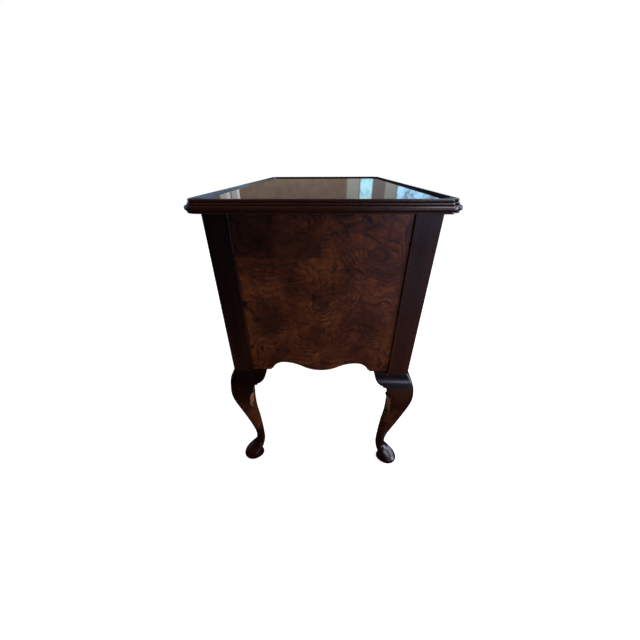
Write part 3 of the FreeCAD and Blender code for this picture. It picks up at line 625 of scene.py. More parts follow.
# Painted shade and reflection: the lip drawn near black with a navy cast, as if it mirrored the window.
LIP_SHADE_AND_REFLECTION = replace(WALNUT, name="lip_painted_shade_and_reflection", dark=(0.0035, 0.0028, 0.0045), middle=(0.0090, 0.0085, 0.0150),
                     light=(0.0200, 0.0190, 0.0320), rubbed=(0.030, 0.028, 0.040), rubbed_share=0.15,
                     roughness=0.42, coat=0.0, specular=0.06)
# Painted reflection: the back lip drawn pale blue-grey, as if it mirrored the front windows.
LIP_PAINTED_SHEEN = replace(LIP_SHADE_AND_REFLECTION, name="lip_painted_sheen", dark=(0.050, 0.050, 0.085), middle=(0.080, 0.085, 0.135),
                    light=(0.110, 0.115, 0.180), roughness=0.25, coat=0.5, specular=0.6)
# Painted shade: a copy of the walnut for the rear posts, darker towards the top, with fewer rubbed edges.
SHADED_REAR_POST_WALNUT = replace(WALNUT, name="shaded_rear_post_walnut", smoked_heights=(0.40, 0.66), rubbed_share=0.25)
PINE = PlainWood("pine", dark=(0.17, 0.085, 0.035), middle=(0.32, 0.185, 0.085), light=(0.46, 0.30, 0.16),
                 rubbed=(0.50, 0.36, 0.22), roughness=0.62, pore_depth=0.00005, rubbed_share=0.3)
STAINED = PlainWood("stained_pine", dark=(0.030, 0.012, 0.006), middle=(0.074, 0.032, 0.014),
                    light=(0.130, 0.062, 0.028), rubbed=(0.16, 0.09, 0.05), roughness=0.5,
                    pore_depth=0.00005)
BURL = Burl("burl", line=(0.0090, 0.0018, 0.0007), dark=(0.0270, 0.0051, 0.0012),
            middle=(0.0700, 0.0154, 0.0032), light=(0.1420, 0.0365, 0.0076))


@dataclass(frozen=True)
class Swirl:
    """A place on the end panel round which the figure turns, as (Y, Z)."""

    y: float
    z: float
    reach: float
    rise: float


@dataclass(frozen=True)
class EndPanelVeneer:
    """Leaves of burl on an end panel: one at the front, two or three at the rear."""

    burl: Burl = BURL
    seam_z: float = 0.655
    seam_half: float = 0.0007
    patch_y: float = 0.089
    patch_shift: float = 3.1
    rear_shift: float = 0.014
    patch_tint: Colour = (0.60, 0.52, 0.62)
    outer_tint: Colour = (0.52, 0.46, 0.66)
    swirls: tuple[Swirl, ...] = (
        Swirl(0.0, 0.520, 0.110, 0.34),
        Swirl(0.0, 0.450, 0.070, 0.22),
        Swirl(0.101, 0.428, 0.050, 0.22),
        Swirl(0.052, 0.605, 0.055, 0.20),
        Swirl(0.050, 0.735, 0.095, 0.55),
        Swirl(0.115, 0.560, 0.050, 0.26),
        Swirl(-0.036, 0.592, 0.045, 0.22),
        Swirl(-0.115, 0.475, 0.060, 0.18),
        Swirl(-0.120, 0.650, 0.060, 0.20),
    )
    knots: tuple[tuple[float, float, float], ...] = (
        (0.051, 0.642, 0.0036),
        (0.063, 0.604, 0.0040),
        (0.101, 0.428, 0.0070),
        (0.107, 0.447, 0.0050),
    )

    def material(self, groups: Groups) -> Material:
        """The veneered and polished end panel.

        Args:
            groups: The shared node groups.

        Returns:
            The material.
        """
        sheet = MaterialSheet("end_panel_burl", groups, Coat_Weight=0.5, Coat_Roughness=0.24)
        axes = sheet.split(sheet.place)
        rear = self.past(sheet, axes["Y"], 0.0)
        patch = sheet.times(rear, self.past(sheet, axes["Z"], self.seam_z))
        outer = sheet.times(patch, self.past(sheet, axes["Y"], self.patch_y))
        flat = sheet.joined(sheet.maths("ABSOLUTE", axes["Y"]), axes["Z"], 0.0)
        leaf = sheet.joined(sheet.times(patch, self.patch_shift), outer, sheet.times(rear, self.rear_shift))
        vector = sheet.vectors("ADD", flat, leaf)
        face = sheet.joined(0.0, axes["Y"], axes["Z"])
        colour = self.burl.colour(sheet, vector, bias=self.turned(sheet, vector, face))
        for y, z, radius in self.knots:
            away = sheet.vectors("DISTANCE", face, (0.0, y, z))
            colour = sheet.blend(sheet.step(away, radius, radius * 0.4), colour, self.burl.line)
        for mask, tint in ((patch, self.patch_tint), (outer, self.outer_tint)):
            darker = sheet.blend(mask, (1.0, 1.0, 1.0), tint)
            colour = sheet.blend(1.0, colour, darker, "MULTIPLY")
        colour = sheet.blend(self.seams(sheet, axes, rear), colour, self.burl.line)
        return sheet.polished(colour, sheet.place, self.burl.roughness)

    @staticmethod
    def past(sheet: MaterialSheet, value: Any, limit: float) -> Socket:
        """1 where a value is past a limit, with a hairline between."""
        return sheet.step(value, limit - HAIRLINE, limit + HAIRLINE)

    def turned(self, sheet: MaterialSheet, vector: Any, face: Any) -> Any:
        """What the swirls add to the figure's height.

        Args:
            sheet: The material being made.
            vector: The place on the leaf, in metres.
            face: The place on the panel's face.

        Returns:
            What is added to the figure's height.
        """
        push = sheet.scaled(sheet.drift(vector, 22.0, 2.0), (0.0, 0.075, 0.060))
        face = sheet.vectors("ADD", face, push)
        bias = 0.0
        for swirl in self.swirls:
            near = sheet.step(sheet.vectors("DISTANCE", face, (0.0, swirl.y, swirl.z)), swirl.reach, 0.0)
            bias = sheet.maths("MULTIPLY_ADD", near, swirl.rise, bias)
        return bias

    def seams(self, sheet: MaterialSheet, axes: Any, rear: Any) -> Socket:
        """The thin dark joints between the leaves: one upright, and a level one at the rear.

        Args:
            sheet: The material being made.
            axes: The three values of the place on the panel.
            rear: The mask of the rear half.

        Returns:
            How dark the joints are.
        """
        upright = sheet.step(sheet.maths("ABSOLUTE", axes["Y"]), self.seam_half, HAIRLINE)
        over = sheet.maths("ABSOLUTE", sheet.maths("SUBTRACT", axes["Z"], self.seam_z))
        level = sheet.times(sheet.step(over, self.seam_half, HAIRLINE), rear)
        return sheet.times(sheet.maths("MAXIMUM", upright, level), 0.6)


@dataclass(frozen=True)
class BurlField:
    """Burl veneer in mirrored leaves inside a crossbanded border, on a flat face."""

    name: str
    middle: tuple[float, float]
    half: tuple[float, float]
    across: tuple[str, str]
    band: float
    line_halves: tuple[float, float] = (0.0009, 0.0004)
    burl: Burl = BURL

    def material(self, groups: Groups) -> Material:
        """The veneered and polished face.

        Args:
            groups: The shared node groups.

        Returns:
            The material.
        """
        sheet = MaterialSheet(self.name, groups, Coat_Weight=0.5, Coat_Roughness=0.2)
        axes = sheet.split(sheet.place)
        first, second = (sheet.maths("SUBTRACT", axes[axis], middle)
                         for axis, middle in zip(self.across, self.middle))
        fold_first, fold_second = (sheet.maths("ABSOLUTE", value) for value in (first, second))
        colour = self.burl.colour(sheet, sheet.joined(fold_first, second, self.middle[0]))
        edge_first = sheet.maths("SUBTRACT", self.half[0], fold_first)
        edge_second = sheet.maths("SUBTRACT", self.half[1], fold_second)
        inside = sheet.maths("MINIMUM", edge_first, edge_second)
        upright = sheet.maths("LESS_THAN", edge_first, edge_second)
        turned = sheet.add("ShaderNodeMix", {0: upright, 4: sheet.joined(second, first, 0.0),
                                             5: sheet.joined(first, second, 0.0)}, data_type="VECTOR")
        grain = sheet.group(groups.grain, Vector=turned.outputs[1], Wander=0.004)
        banding = sheet.ramp(grain["Tone"], ((0.30, self.burl.dark), (0.52, self.burl.middle),
                                             (0.75, self.burl.light)))
        banding = sheet.blend(0.35, banding, self.burl.dark)
        colour = sheet.blend(sheet.step(inside, self.band - HAIRLINE, self.band + HAIRLINE), banding, colour)
        away = sheet.maths("ABSOLUTE", sheet.maths("SUBTRACT", inside, self.band))
        line = sheet.step(away, *self.line_halves)
        colour = sheet.blend(sheet.times(line, 0.8), colour, self.burl.line)
        rubbed = sheet.times(sheet.group(groups.edges)["Rubbed"], 0.5)
        colour = sheet.blend(rubbed, colour, WALNUT.rubbed)
        return sheet.polished(colour, sheet.place, self.burl.roughness)


@dataclass(frozen=True)
class AgedMetal:
    """Metal with a clean worn colour, a tarnish and a dirt for its corners."""

    name: str
    clean: Colour
    tarnish: Colour
    roughness: float

    def material(self, groups: Groups) -> Material:
        """The metal.

        Args:
            groups: The shared node groups.

        Returns:
            The material.
        """
        sheet = MaterialSheet(self.name, groups, Metallic=1.0)
        spots = sheet.noise(sheet.place, 55.0, 5.0, 0.6).outputs[0]
        colour = sheet.blend(sheet.step(spots, 0.30, 0.75), self.clean, self.tarnish)
        edges = sheet.group(groups.edges, Radius=0.0012, Reach=0.006)
        colour = sheet.blend(sheet.times(edges["Rubbed"], 0.7), colour, self.clean)
        colour = sheet.blend(sheet.times(edges["ShadeAndGrime"], 0.85), colour, toned(self.tarnish, 0.12))
        sheet.feed(sheet.shader.inputs["Base Color"], colour)
        rough = sheet.maths("MULTIPLY_ADD", spots, 0.3, self.roughness - 0.15)
        sheet.feed(sheet.shader.inputs["Roughness"], rough)
        scratches = sheet.noise(sheet.scaled(sheet.place, (300.0, 300.0, 2200.0)), 1.0, 2.0).outputs[0]
        sheet.relief(scratches, 0.00002)
        return sheet.material


BRASS = AgedMetal("aged_brass", clean=(0.66, 0.44, 0.17), tarnish=(0.40, 0.25, 0.090), roughness=0.30)
STEEL = AgedMetal("plain_steel", clean=(0.52, 0.52, 0.54), tarnish=(0.26, 0.24, 0.22), roughness=0.38)


@dataclass(frozen=True)
class PlateGlass:
    """Clear polished plate glass with a faint green cast and a little dust."""

    tint: Colour = (0.90, 0.97, 0.93)

    def material(self, groups: Groups) -> Material:
        """The glass.

        Args:
            groups: The shared node groups.

        Returns:
            The material.
        """
        sheet = MaterialSheet("plate_glass", groups, Transmission_Weight=1.0, IOR=1.5)
        dust = sheet.noise(sheet.place, 9.0, 5.0, 0.7).outputs[0]
        colour = sheet.blend(sheet.step(dust, 0.5, 0.75), self.tint, toned(self.tint, 0.96))
        sheet.feed(sheet.shader.inputs["Base Color"], colour)
        rough = sheet.maths("MULTIPLY_ADD", sheet.step(dust, 0.45, 0.75), 0.03, 0.008)
        sheet.feed(sheet.shader.inputs["Roughness"], rough)
        return sheet.material


# ---- Working on meshes ----

class Bench:
    """The operators that shape a piece, with selections made in code."""

    @staticmethod
    def hold(*objects: Item) -> None:
        """Leave edit mode, select only these objects and make the first one active.

        Args:
            objects: The objects to select.
        """
        if bpy.context.object and bpy.context.object.mode != "OBJECT":
            bpy.ops.object.mode_set(mode="OBJECT")
        bpy.ops.object.select_all(action="DESELECT")
        for item in objects:
            item.select_set(True)
        bpy.context.view_layer.objects.active = objects[0]

    @staticmethod
    def clear() -> None:
        """Select nothing, so that a new primitive is worked on alone."""
        bpy.ops.object.select_all(action="DESELECT")

    @staticmethod
    def edit(item: Item) -> None:
        """Open one object in edit mode with nothing in it selected.

        Args:
            item: The piece to change.
        """
        Bench.hold(item)
        bpy.ops.object.mode_set(mode="EDIT")
        bpy.ops.mesh.select_mode(type="VERT")
        bpy.ops.mesh.select_all(action="DESELECT")

    @staticmethod
    def close() -> None:
        """Go back to object mode."""
        bpy.ops.object.mode_set(mode="OBJECT")

    @staticmethod
    def modify(item: Item, kind: str, **settings: Any) -> None:
        """Add one modifier with its settings and apply it.

        Args:
            item: The piece to change.
            kind: The modifier's type.
            settings: Values for the modifier's own properties.
        """
        Bench.hold(item)
        modifier = item.modifiers.new(kind.lower(), kind)
        for name, value in settings.items():
            setattr(modifier, name, value)
        bpy.ops.object.modifier_apply(modifier=modifier.name)

    @staticmethod
    def copy_node(node: Item, name: str) -> Item:
        """A merged copy of a CAD node, with its flat faces whole again.

        Args:
            node: The CAD node.
            name: The copy's name.

        Returns:
            The copy.
        """
        copy = node.copy()
        copy.data = node.data.copy()
        copy.name = copy.data.name = name
        copy.parent = None
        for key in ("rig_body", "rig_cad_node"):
            del copy[key]
        bpy.context.scene.collection.objects.link(copy)
        Bench.edit(copy)
        bpy.ops.mesh.select_all(action="SELECT")
        bpy.ops.mesh.remove_doubles(threshold=MERGE_DISTANCE)
        bpy.ops.mesh.dissolve_limited(angle_limit=math.radians(FLAT_ANGLE))
        Bench.close()
        if copy.data.has_custom_normals:
            bpy.ops.mesh.customdata_custom_splitnormals_clear()
        return copy

    @staticmethod
    def ease(item: Item, width: float, angle: float) -> None:
        """Round a piece's sharp edges and shade it smooth between them.

        Args:
            item: The piece to change.
            width: How wide the rounding is, in metres.
            angle: The least angle at which an edge counts as sharp, in degrees.
        """
        Bench.modify(item, "BEVEL", width=width, segments=2, limit_method="ANGLE",
                     angle_limit=math.radians(angle), use_clamp_overlap=True)
        Bench.hold(item)
        bpy.ops.object.shade_smooth_by_angle(angle=math.radians(angle))
        Bench.modify(item, "WEIGHTED_NORMAL", keep_sharp=True)


def dress(item: Item, material: Material) -> None:
    """Give every slot of an object one material.

    Args:
        item: The piece to change.
        material: The material it gets.
    """
    if not item.data.materials:
        item.data.materials.append(material)
    for slot in item.material_slots:
        slot.material = material


class Workshop:
    """The frame, the shared groups and the finished materials."""

    def __init__(self, frame: dict[str, Any]) -> None:
        """Keep the frame and build the groups.
        """
        self.frame = frame
        self.nodes: dict[str, Item] = frame["nodes"]
        self.groups = Groups()
        self.woods: dict[tuple[str, Grain], Material] = {}

    def wood(self, finish: PlainWood, grain: Grain) -> Material:
        """A plain wood with its grain in one direction, made once.

        Args:
            finish: The timber with its polish.
            grain: The direction in which the grain runs.

        Returns:
            The material.
        """
        key = (finish.name, grain)
        if key not in self.woods:
            self.woods[key] = finish.material(self.groups, grain)
        return self.woods[key]

    def body_of(self, node: str) -> str:
        """The body that a node rides on."""
        return self.nodes[node]["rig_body"]

    def stand_in(self, piece: Item, node: str) -> None:
        """Let a finished piece stand for a node and ride where it rides.

        Args:
            piece: The finished piece.
            node: The node's name.
        """
        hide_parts(node)
        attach(piece, self.body_of(node))
        LOG.info("piece %s stands for %s", piece.name, node)

    def eased(self, node: str, width: float, material: Material, angle: float = 35.0) -> Item:
        """Replace a node with a copy whose edges are eased.

        Args:
            node: The node's name.
            width: How wide the rounding is, in metres.
            material: The material it gets.
            angle: The least angle at which an edge counts as sharp, in degrees.

        Returns:
            The copy.
        """
        piece = Bench.copy_node(self.nodes[node], f"{node}_eased")
        Bench.ease(piece, width, angle)
        dress(piece, material)
        self.stand_in(piece, node)
        return piece


# ---- Sub-assemblies ----

@dataclass
class Top:
    """The glass, the board under it and the moulding in four lengths."""

    arris: float = 0.0005
    lip_height: float = 0.745
    lip_outward: float = 0.02
    board_band: float = 0.045
    moulding_sides: tuple[tuple[str, Grain], ...] = (
        ("front", Grain.ALONG_X), ("back", Grain.ALONG_X), ("left", Grain.ALONG_Y), ("right", Grain.ALONG_Y))

    def build(self, shop: Workshop) -> None:
        """Ease and dress the top's pieces.

        Args:
            shop: The frame, the shared groups and the finished materials.
        """
        for side, grain in self.moulding_sides:
            length = shop.eased(f"top_moulding_{side}", self.arris, shop.wood(WALNUT, grain), angle=50.0)
            # The back lip gets the painted pale reflection, and the others get the painted dark shade and
            # reflection.
            finish = LIP_PAINTED_SHEEN if side == "back" else LIP_SHADE_AND_REFLECTION
            self.finish_lip(length, shop.wood(finish, grain))
        glass = shop.eased("glass_top", self.arris, PlateGlass().material(shop.groups), angle=50.0)
        glass.visible_shadow = False
        _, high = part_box("top_board")
        veneer = BurlField("top_board_burl", (0.0, 0.0), (high.x, high.y), ("X", "Y"), self.board_band)
        dress(shop.nodes["top_board"], veneer.material(shop.groups))
        dress(shop.nodes["top_screws"], STEEL.material(shop.groups))

    def finish_lip(self, length: Item, finish: Material) -> None:
        """Give the flat of the lip and its wall towards the glass their own material, with painted shade and
        reflection.

        Args:
            length: One length of the moulding.
            finish: The lip's material, with painted shade and reflection.
        """
        length.data.materials.append(finish)
        last = len(length.data.materials) - 1
        for polygon in length.data.polygons:
            place = length.matrix_world @ polygon.center
            outward = polygon.normal.dot(Vector((place.x, place.y, 0.0)))
            if place.z > self.lip_height and outward < self.lip_outward:
                polygon.material_index = last


@dataclass
class Case:
    """Posts, panels, rails and what lies inside the case."""

    arris: float = 0.0013
    walnut_rails: tuple[str, ...] = ("top_rail", "middle_rail")
    inner_along_y: tuple[str, ...] = ("long_drawer_runners", "long_drawer_kickers", "small_drawer_runners",
                                      "drawer_guides", "drawer_stops")
    inner_along_x: tuple[str, ...] = ("rear_rail",)
    inner_along_z: tuple[str, ...] = ("glue_blocks", "leg_dowels")

    def build(self, shop: Workshop) -> None:
        """Ease what shows and dress the rest.

        Args:
            shop: The frame, the shared groups and the finished materials.
        """
        for corner in Corner:
            # The rear posts take the copy with painted shade.
            finish = WALNUT if corner.sides[1] < 0 else SHADED_REAR_POST_WALNUT
            shop.eased(f"post_{corner.label}", self.arris, shop.wood(finish, Grain.ALONG_Z))
        for rail in self.walnut_rails:
            shop.eased(rail, self.arris, shop.wood(WALNUT, Grain.ALONG_X))
        dress(shop.nodes["drawer_partitions"], shop.wood(WALNUT, Grain.ALONG_Z))
        veneer = EndPanelVeneer().material(shop.groups)
        for side in ("left", "right"):
            shop.eased(f"side_panel_{side}", self.arris, veneer)
        low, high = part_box("front_apron")
        middle = (0.0, (low.z + high.z) / 2)
        apron = BurlField("apron_burl", middle, (high.x, (high.z - low.z) / 2), ("X", "Z"), 0.0)
        shop.eased("front_apron", self.arris, apron.material(shop.groups))
        shop.eased("back_panel", self.arris, shop.wood(STAINED, Grain.ALONG_X))
        for names, grain in ((self.inner_along_y, Grain.ALONG_Y), (self.inner_along_x, Grain.ALONG_X),
                             (self.inner_along_z, Grain.ALONG_Z)):
            for name in names:
                dress(shop.nodes[name], shop.wood(PINE, grain))


# A ring squares up between these two heights, until its face lies flat on the knee bracket's face.
MEETING_START = 0.300
MEETING_END = 0.328
MEETING_SQUARENESS = 300.0


@dataclass(frozen=True)
class Station:
    """One ring of a leg, measured from the post's axis along X and Y."""

    height: float
    outer: float
    inner: float
    squareness: float = 2.0
    rear_pull: float = 0.0

    def half(self, rear: bool) -> tuple[float, float]:
        """Half the ring's width in X and Y; a rear leg stands out less at the back."""
        width = (self.outer - self.inner) / 2
        return width, width - (self.rear_pull / 2 if rear else 0.0)

    def power(self, angle: float, rear: bool) -> float:
        """How square the ring is; beside a bracket it squares up to meet the bracket's face.

        Args:
            angle: The place round the ring, in radians.
            rear: Whether it is a rear leg.

        Returns:
            The power of the outline: 2 is an ellipse, and more is squarer.
        """
        quarter = math.floor(angle / (math.pi / 2)) % 4
        if quarter == 3 or (quarter == 1 and not rear):
            share = (self.height - MEETING_START) / (MEETING_END - MEETING_START)
            share = min(max(share, 0.0), 1.0)
            return self.squareness + (MEETING_SQUARENESS - self.squareness) * share ** 3
        return self.squareness

    def point(self, angle: float, rear: bool) -> tuple[float, float]:
        """A point of the ring, from the post's axis.

        Args:
            angle: The place round the ring, in radians.
            rear: Whether it is a rear leg.

        Returns:
            X and Y from the post's axis.
        """
        power = self.power(angle, rear)
        reach = (abs(math.cos(angle)) ** power + abs(math.sin(angle)) ** power) ** (-1 / power)
        half_x, half_y = self.half(rear)
        return (self.inner + half_x * (1 + reach * math.cos(angle)),
                self.inner + half_y * (1 + reach * math.sin(angle)))


def smooth_value(before: float, start: float, end: float, after: float, share: float) -> float:
    """A value between start and end on the smooth curve through all four values.

    Args:
        before: The value before the start.
        start: The value at the start.
        end: The value at the end.
        after: The value after the end.
        share: How far on from the start, from 0 to 1.

    Returns:
        The value there.
    """
    slope_in = (end - before) / 2
    slope_out = (after - start) / 2
    bend = 2 * (start - end) + slope_in + slope_out
    turn = 3 * (end - start) - 2 * slope_in - slope_out
    return ((bend * share + turn) * share + slope_in) * share + start


@dataclass(frozen=True)
class CScroll:
    """The scroll carved on the inner corner of a knee, as places (degrees round from the face, height)."""

    rim: tuple[tuple[float, float], ...] = (
        (66.0, 0.3125), (56.0, 0.3115), (46.0, 0.3050), (40.5, 0.2920), (38.5, 0.2700), (39.0, 0.2480),
        (42.5, 0.2300), (50.0, 0.2170), (61.0, 0.2125), (70.0, 0.2170), (70.0, 0.2250), (63.0, 0.2275))
    rim_radius: float = 0.0032
    rim_ends: tuple[float, float] = (0.9, 0.8)
    hollow_middle: tuple[float, float] = (67.0, 0.2660)
    hollow_size: Point = (0.0150, 0.0070, 0.0420)
    bead: tuple[float, float] = (51.0, 0.3135)
    bead_radius: float = 0.0060
    top: float = 0.3130
    rear_share: float = 0.78

    def height(self, height: float, rear: bool) -> float:
        """A height of the scroll; a rear leg has a shorter one, hung from the same bead."""
        return self.top + (height - self.top) * (self.rear_share if rear else 1.0)


@dataclass
class Legs:
    """Cabriole legs with pad feet, each carved with a C-scroll beside its brackets."""

    post_axis: tuple[float, float] = (0.391, 0.192)
    ring_points: int = 96
    rings_between: int = 5
    bracket_arris: float = 0.0002
    scroll: CScroll = CScroll()
    stations: tuple[Station, ...] = (
        Station(0.0, 0.0260, -0.0085),
        Station(0.003, 0.0290, -0.0105),
        Station(0.007, 0.0340, -0.0100),
        Station(0.012, 0.0405, -0.0070),
        Station(0.018, 0.0445, -0.0045),
        Station(0.025, 0.0455, -0.0050),
        Station(0.033, 0.0410, -0.0085),
        Station(0.041, 0.0310, -0.0125),
        Station(0.050, 0.0185, -0.0155),
        Station(0.061, 0.0110, -0.0168, 2.0, 0.0010),
        Station(0.078, 0.0095, -0.0168, 2.0, 0.0025),
        Station(0.110, 0.0130, -0.0165, 2.1, 0.0055),
        Station(0.160, 0.0235, -0.0150, 2.4, 0.0100),
        Station(0.215, 0.0343, -0.0115, 2.9, 0.0105),
        Station(0.270, 0.0445, -0.0120, 3.6, 0.0085),
        Station(0.300, 0.0468, -0.0155, 4.5, 0.0075),
        Station(0.324, 0.0445, -0.0235, 5.5, 0.0065),
        Station(0.338, 0.0405, -0.0240, 6.5, 0.0040),
        Station(0.348, 0.0368, -0.0240, 8.0, 0.0025),
        Station(0.356, 0.0322, -0.0240, 10.0, 0.0010),
        Station(0.362, 0.0275, -0.0240, 12.0),
        Station(0.366, 0.0240, -0.0240, 14.0),
    )

    def build(self, shop: Workshop) -> None:
        """Model a rear and a front leg, and set each at both ends of the case.

        Args:
            shop: The frame, the shared groups and the finished materials.
        """
        for rear in (True, False):
            material = shop.wood(REAR_LEG_WALNUT if rear else LEG_WALNUT, Grain.ALONG_Z)
            pattern = self.carved_leg(rear)
            for corner in Corner:
                if (corner.sides[1] > 0) is rear:
                    node = f"leg_{corner.label}"
                    piece = self.mirrored(pattern, f"{node}_carved", corner)
                    dress(piece, material)
                    shop.stand_in(piece, node)
                    shop.eased(f"knee_brackets_{corner.label}", self.bracket_arris, material, angle=40.0)
            bpy.data.objects.remove(pattern)

    def all_rings(self) -> list[Station]:
        """The stations with rings between them on a smooth curve.

        Returns:
            The rings, from the foot up.
        """
        rows = [(s.height, s.outer, s.inner, s.squareness, s.rear_pull) for s in self.stations]
        rows = [rows[0], *rows, rows[-1]]
        rings = [self.stations[0]]
        for before, start, end, after in zip(rows, rows[1:], rows[2:], rows[3:]):
            for step in range(1, self.rings_between + 1):
                share = step / self.rings_between
                values = (smooth_value(*four, share) for four in zip(before, start, end, after))
                rings.append(Station(*values))
        return rings

    def body(self, rear: bool) -> Item:
        """The plain leg at +X and +Y, drawn up ring by ring from the foot.

        Args:
            rear: Whether it is a rear leg.

        Returns:
            The plain leg.
        """
        rings = self.all_rings()
        Bench.clear()
        bpy.ops.mesh.primitive_circle_add(vertices=self.ring_points, radius=self.stations[0].outer,
                                          fill_type="NGON", location=(*self.post_axis, 0.0))
        leg = bpy.context.object
        leg.name = "leg_pattern"
        bpy.ops.object.transform_apply(location=True, rotation=True, scale=True)
        Bench.edit(leg)
        bpy.ops.mesh.select_all(action="SELECT")
        self.shape_ring(leg, rings[0], rear)
        for previous, station in zip(rings, rings[1:]):
            rise = (0.0, 0.0, station.height - previous.height)
            bpy.ops.mesh.extrude_region_move(TRANSFORM_OT_translate={"value": rise})
            self.shape_ring(leg, station, rear)
        bpy.ops.mesh.select_all(action="SELECT")
        bpy.ops.mesh.normals_make_consistent(inside=False)
        Bench.close()
        return leg

    def shape_ring(self, leg: Item, station: Station, rear: bool) -> None:
        """Move the newest ring's points to the station's outline.

        Args:
            leg: The leg, in edit mode with its newest ring selected.
            station: The ring's outline.
            rear: Whether it is a rear leg.
        """
        mesh = bmesh.from_edit_mesh(leg.data)
        mesh.verts.index_update()
        ring = sorted((vertex for vertex in mesh.verts if vertex.select), key=lambda vertex: vertex.index)
        for number, vertex in enumerate(ring):
            angle = 2 * math.pi * number / self.ring_points
            x, y = station.point(angle, rear)
            vertex.co.xy = (self.post_axis[0] + x, self.post_axis[1] + y)
        bmesh.update_edit_mesh(leg.data)

    def carved_leg(self, rear: bool) -> Item:
        """A leg with its hollow cut away and its rim and bead raised, on each bracketed face.

        Args:
            rear: Whether it is a rear leg.

        Returns:
            The carved leg.
        """
        leg = self.body(rear)
        turned = (False,) if rear else (False, True)
        cuts = []
        for turn in turned:
            cut = self.hollow(rear, turn)
            cuts.extend(polygon.center.copy() for polygon in cut.data.polygons)
            self.join_by(leg, cut, "DIFFERENCE")
            self.join_by(leg, self.rim(rear, turn), "UNION")
            self.join_by(leg, self.bead(rear, turn), "UNION")
        self.mark_hollows(leg, cuts)
        Bench.hold(leg)
        bpy.ops.object.shade_smooth_by_angle(angle=math.radians(40))
        return leg

    @staticmethod
    def mark_hollows(leg: Item, cuts: Sequence[Vector], near: float = 0.0012) -> None:
        """Mark the faces that the hollows left, for the painted light inside them.

        Args:
            leg: The carved leg.
            cuts: The middles of the faces of the cutting tools.
            near: How close to them a face counts as cut, in metres.
        """
        tree = KDTree(len(cuts))
        for number, place in enumerate(cuts):
            tree.insert(place, number)
        tree.balance()
        marks = leg.data.attributes.new(CARVED_AWAY, "FLOAT", "FACE")
        for polygon, mark in zip(leg.data.polygons, marks.data):
            mark.value = 1.0 if tree.find(polygon.center)[2] < near else 0.0

    @staticmethod
    def join_by(leg: Item, tool: Item, operation: str) -> None:
        """Cut the tool out of the leg or weld it on, and clear the tool away."""
        Bench.modify(leg, "BOOLEAN", object=tool, operation=operation, solver="MANIFOLD")
        bpy.data.objects.remove(tool)

    def on_face(self, place: tuple[float, float], rear: bool) -> Vector:
        """A place of the scroll on the leg at +X and +Y.

        Args:
            place: Degrees round from the face, and a height.
            rear: Whether it is a rear leg.

        Returns:
            The place, in metres.
        """
        turn, height = place
        height = self.scroll.height(height, rear)
        station = min(self.all_rings(), key=lambda ring: abs(ring.height - height))
        x, y = station.point(math.radians(-turn), rear)
        return Vector((self.post_axis[0] + x, self.post_axis[1] + y, height))

    def turn_over(self, piece: Item, turn: bool) -> Item:
        """Swap X and Y about the post's diagonal, for the scroll on the other face.

        Args:
            piece: A tool of the carving.
            turn: Whether it goes on the other bracketed face.

        Returns:
            The same tool.
        """
        if turn:
            x, y = self.post_axis
            swap = Matrix(((0, 1, 0, x - y), (1, 0, 0, y - x), (0, 0, 1, 0), (0, 0, 0, 1)))
            piece.data.transform(swap)
            piece.data.flip_normals()
        return piece

    def hollow(self, rear: bool, turn: bool) -> Item:
        """The long round-bottomed cut inside the scroll.

        Args:
            rear: Whether it is a rear leg.
            turn: Whether it goes on the other bracketed face.

        Returns:
            The tool that cuts it.
        """
        angle, height = self.scroll.hollow_middle
        across, deep, reach = self.scroll.hollow_size
        shorter = self.scroll.rear_share if rear else 1.0
        place = self.on_face((angle, height), rear)
        lean = self.on_face((angle, height + reach), rear) - self.on_face((angle, height - reach), rear)
        Bench.clear()
        bpy.ops.mesh.primitive_uv_sphere_add(segments=48, ring_count=32, radius=1.0, location=place,
                                             scale=(across, deep, reach * shorter))
        cut = bpy.context.object
        bpy.ops.object.transform_apply(location=True, rotation=True, scale=True)
        Bench.edit(cut)
        mesh = bmesh.from_edit_mesh(cut.data)
        for vertex in mesh.verts:
            rise = (vertex.co.z - place.z) / lean.z
            vertex.co.x += lean.x * rise
            vertex.co.y += lean.y * rise
        bmesh.update_edit_mesh(cut.data)
        Bench.close()
        return self.turn_over(cut, turn)

    def rim(self, rear: bool, turn: bool) -> Item:
        """The raised C, as a round cord half sunk in the face.

        Args:
            rear: Whether it is a rear leg.
            turn: Whether it goes on the other bracketed face.

        Returns:
            The cord to weld on.
        """
        curve = bpy.data.curves.new("scroll_rim", "CURVE")
        curve.dimensions = "3D"
        curve.bevel_depth = self.scroll.rim_radius
        curve.bevel_resolution = 4
        curve.use_fill_caps = True
        curve.resolution_u = 8
        line = curve.splines.new("NURBS")
        places = [self.on_face(place, rear) for place in self.scroll.rim]
        line.points.add(len(places) - 1)
        last = len(places) - 1
        for number, (point, place) in enumerate(zip(line.points, places)):
            point.co = (*place, 1.0)
            start, end = self.scroll.rim_ends
            swell = math.sin(math.pi * number / last)
            point.radius = (start + (end - start) * number / last) * (1 - swell) + swell
        line.order_u = 4
        line.use_endpoint_u = True
        rim = bpy.data.objects.new("scroll_rim", curve)
        bpy.context.scene.collection.objects.link(rim)
        Bench.hold(rim)
        bpy.ops.object.convert(target="MESH")
        Bench.edit(rim)
        bpy.ops.mesh.select_all(action="SELECT")
        bpy.ops.mesh.remove_doubles(threshold=MERGE_DISTANCE)
        bpy.ops.mesh.normals_make_consistent(inside=False)
        Bench.close()
        return self.turn_over(rim, turn)

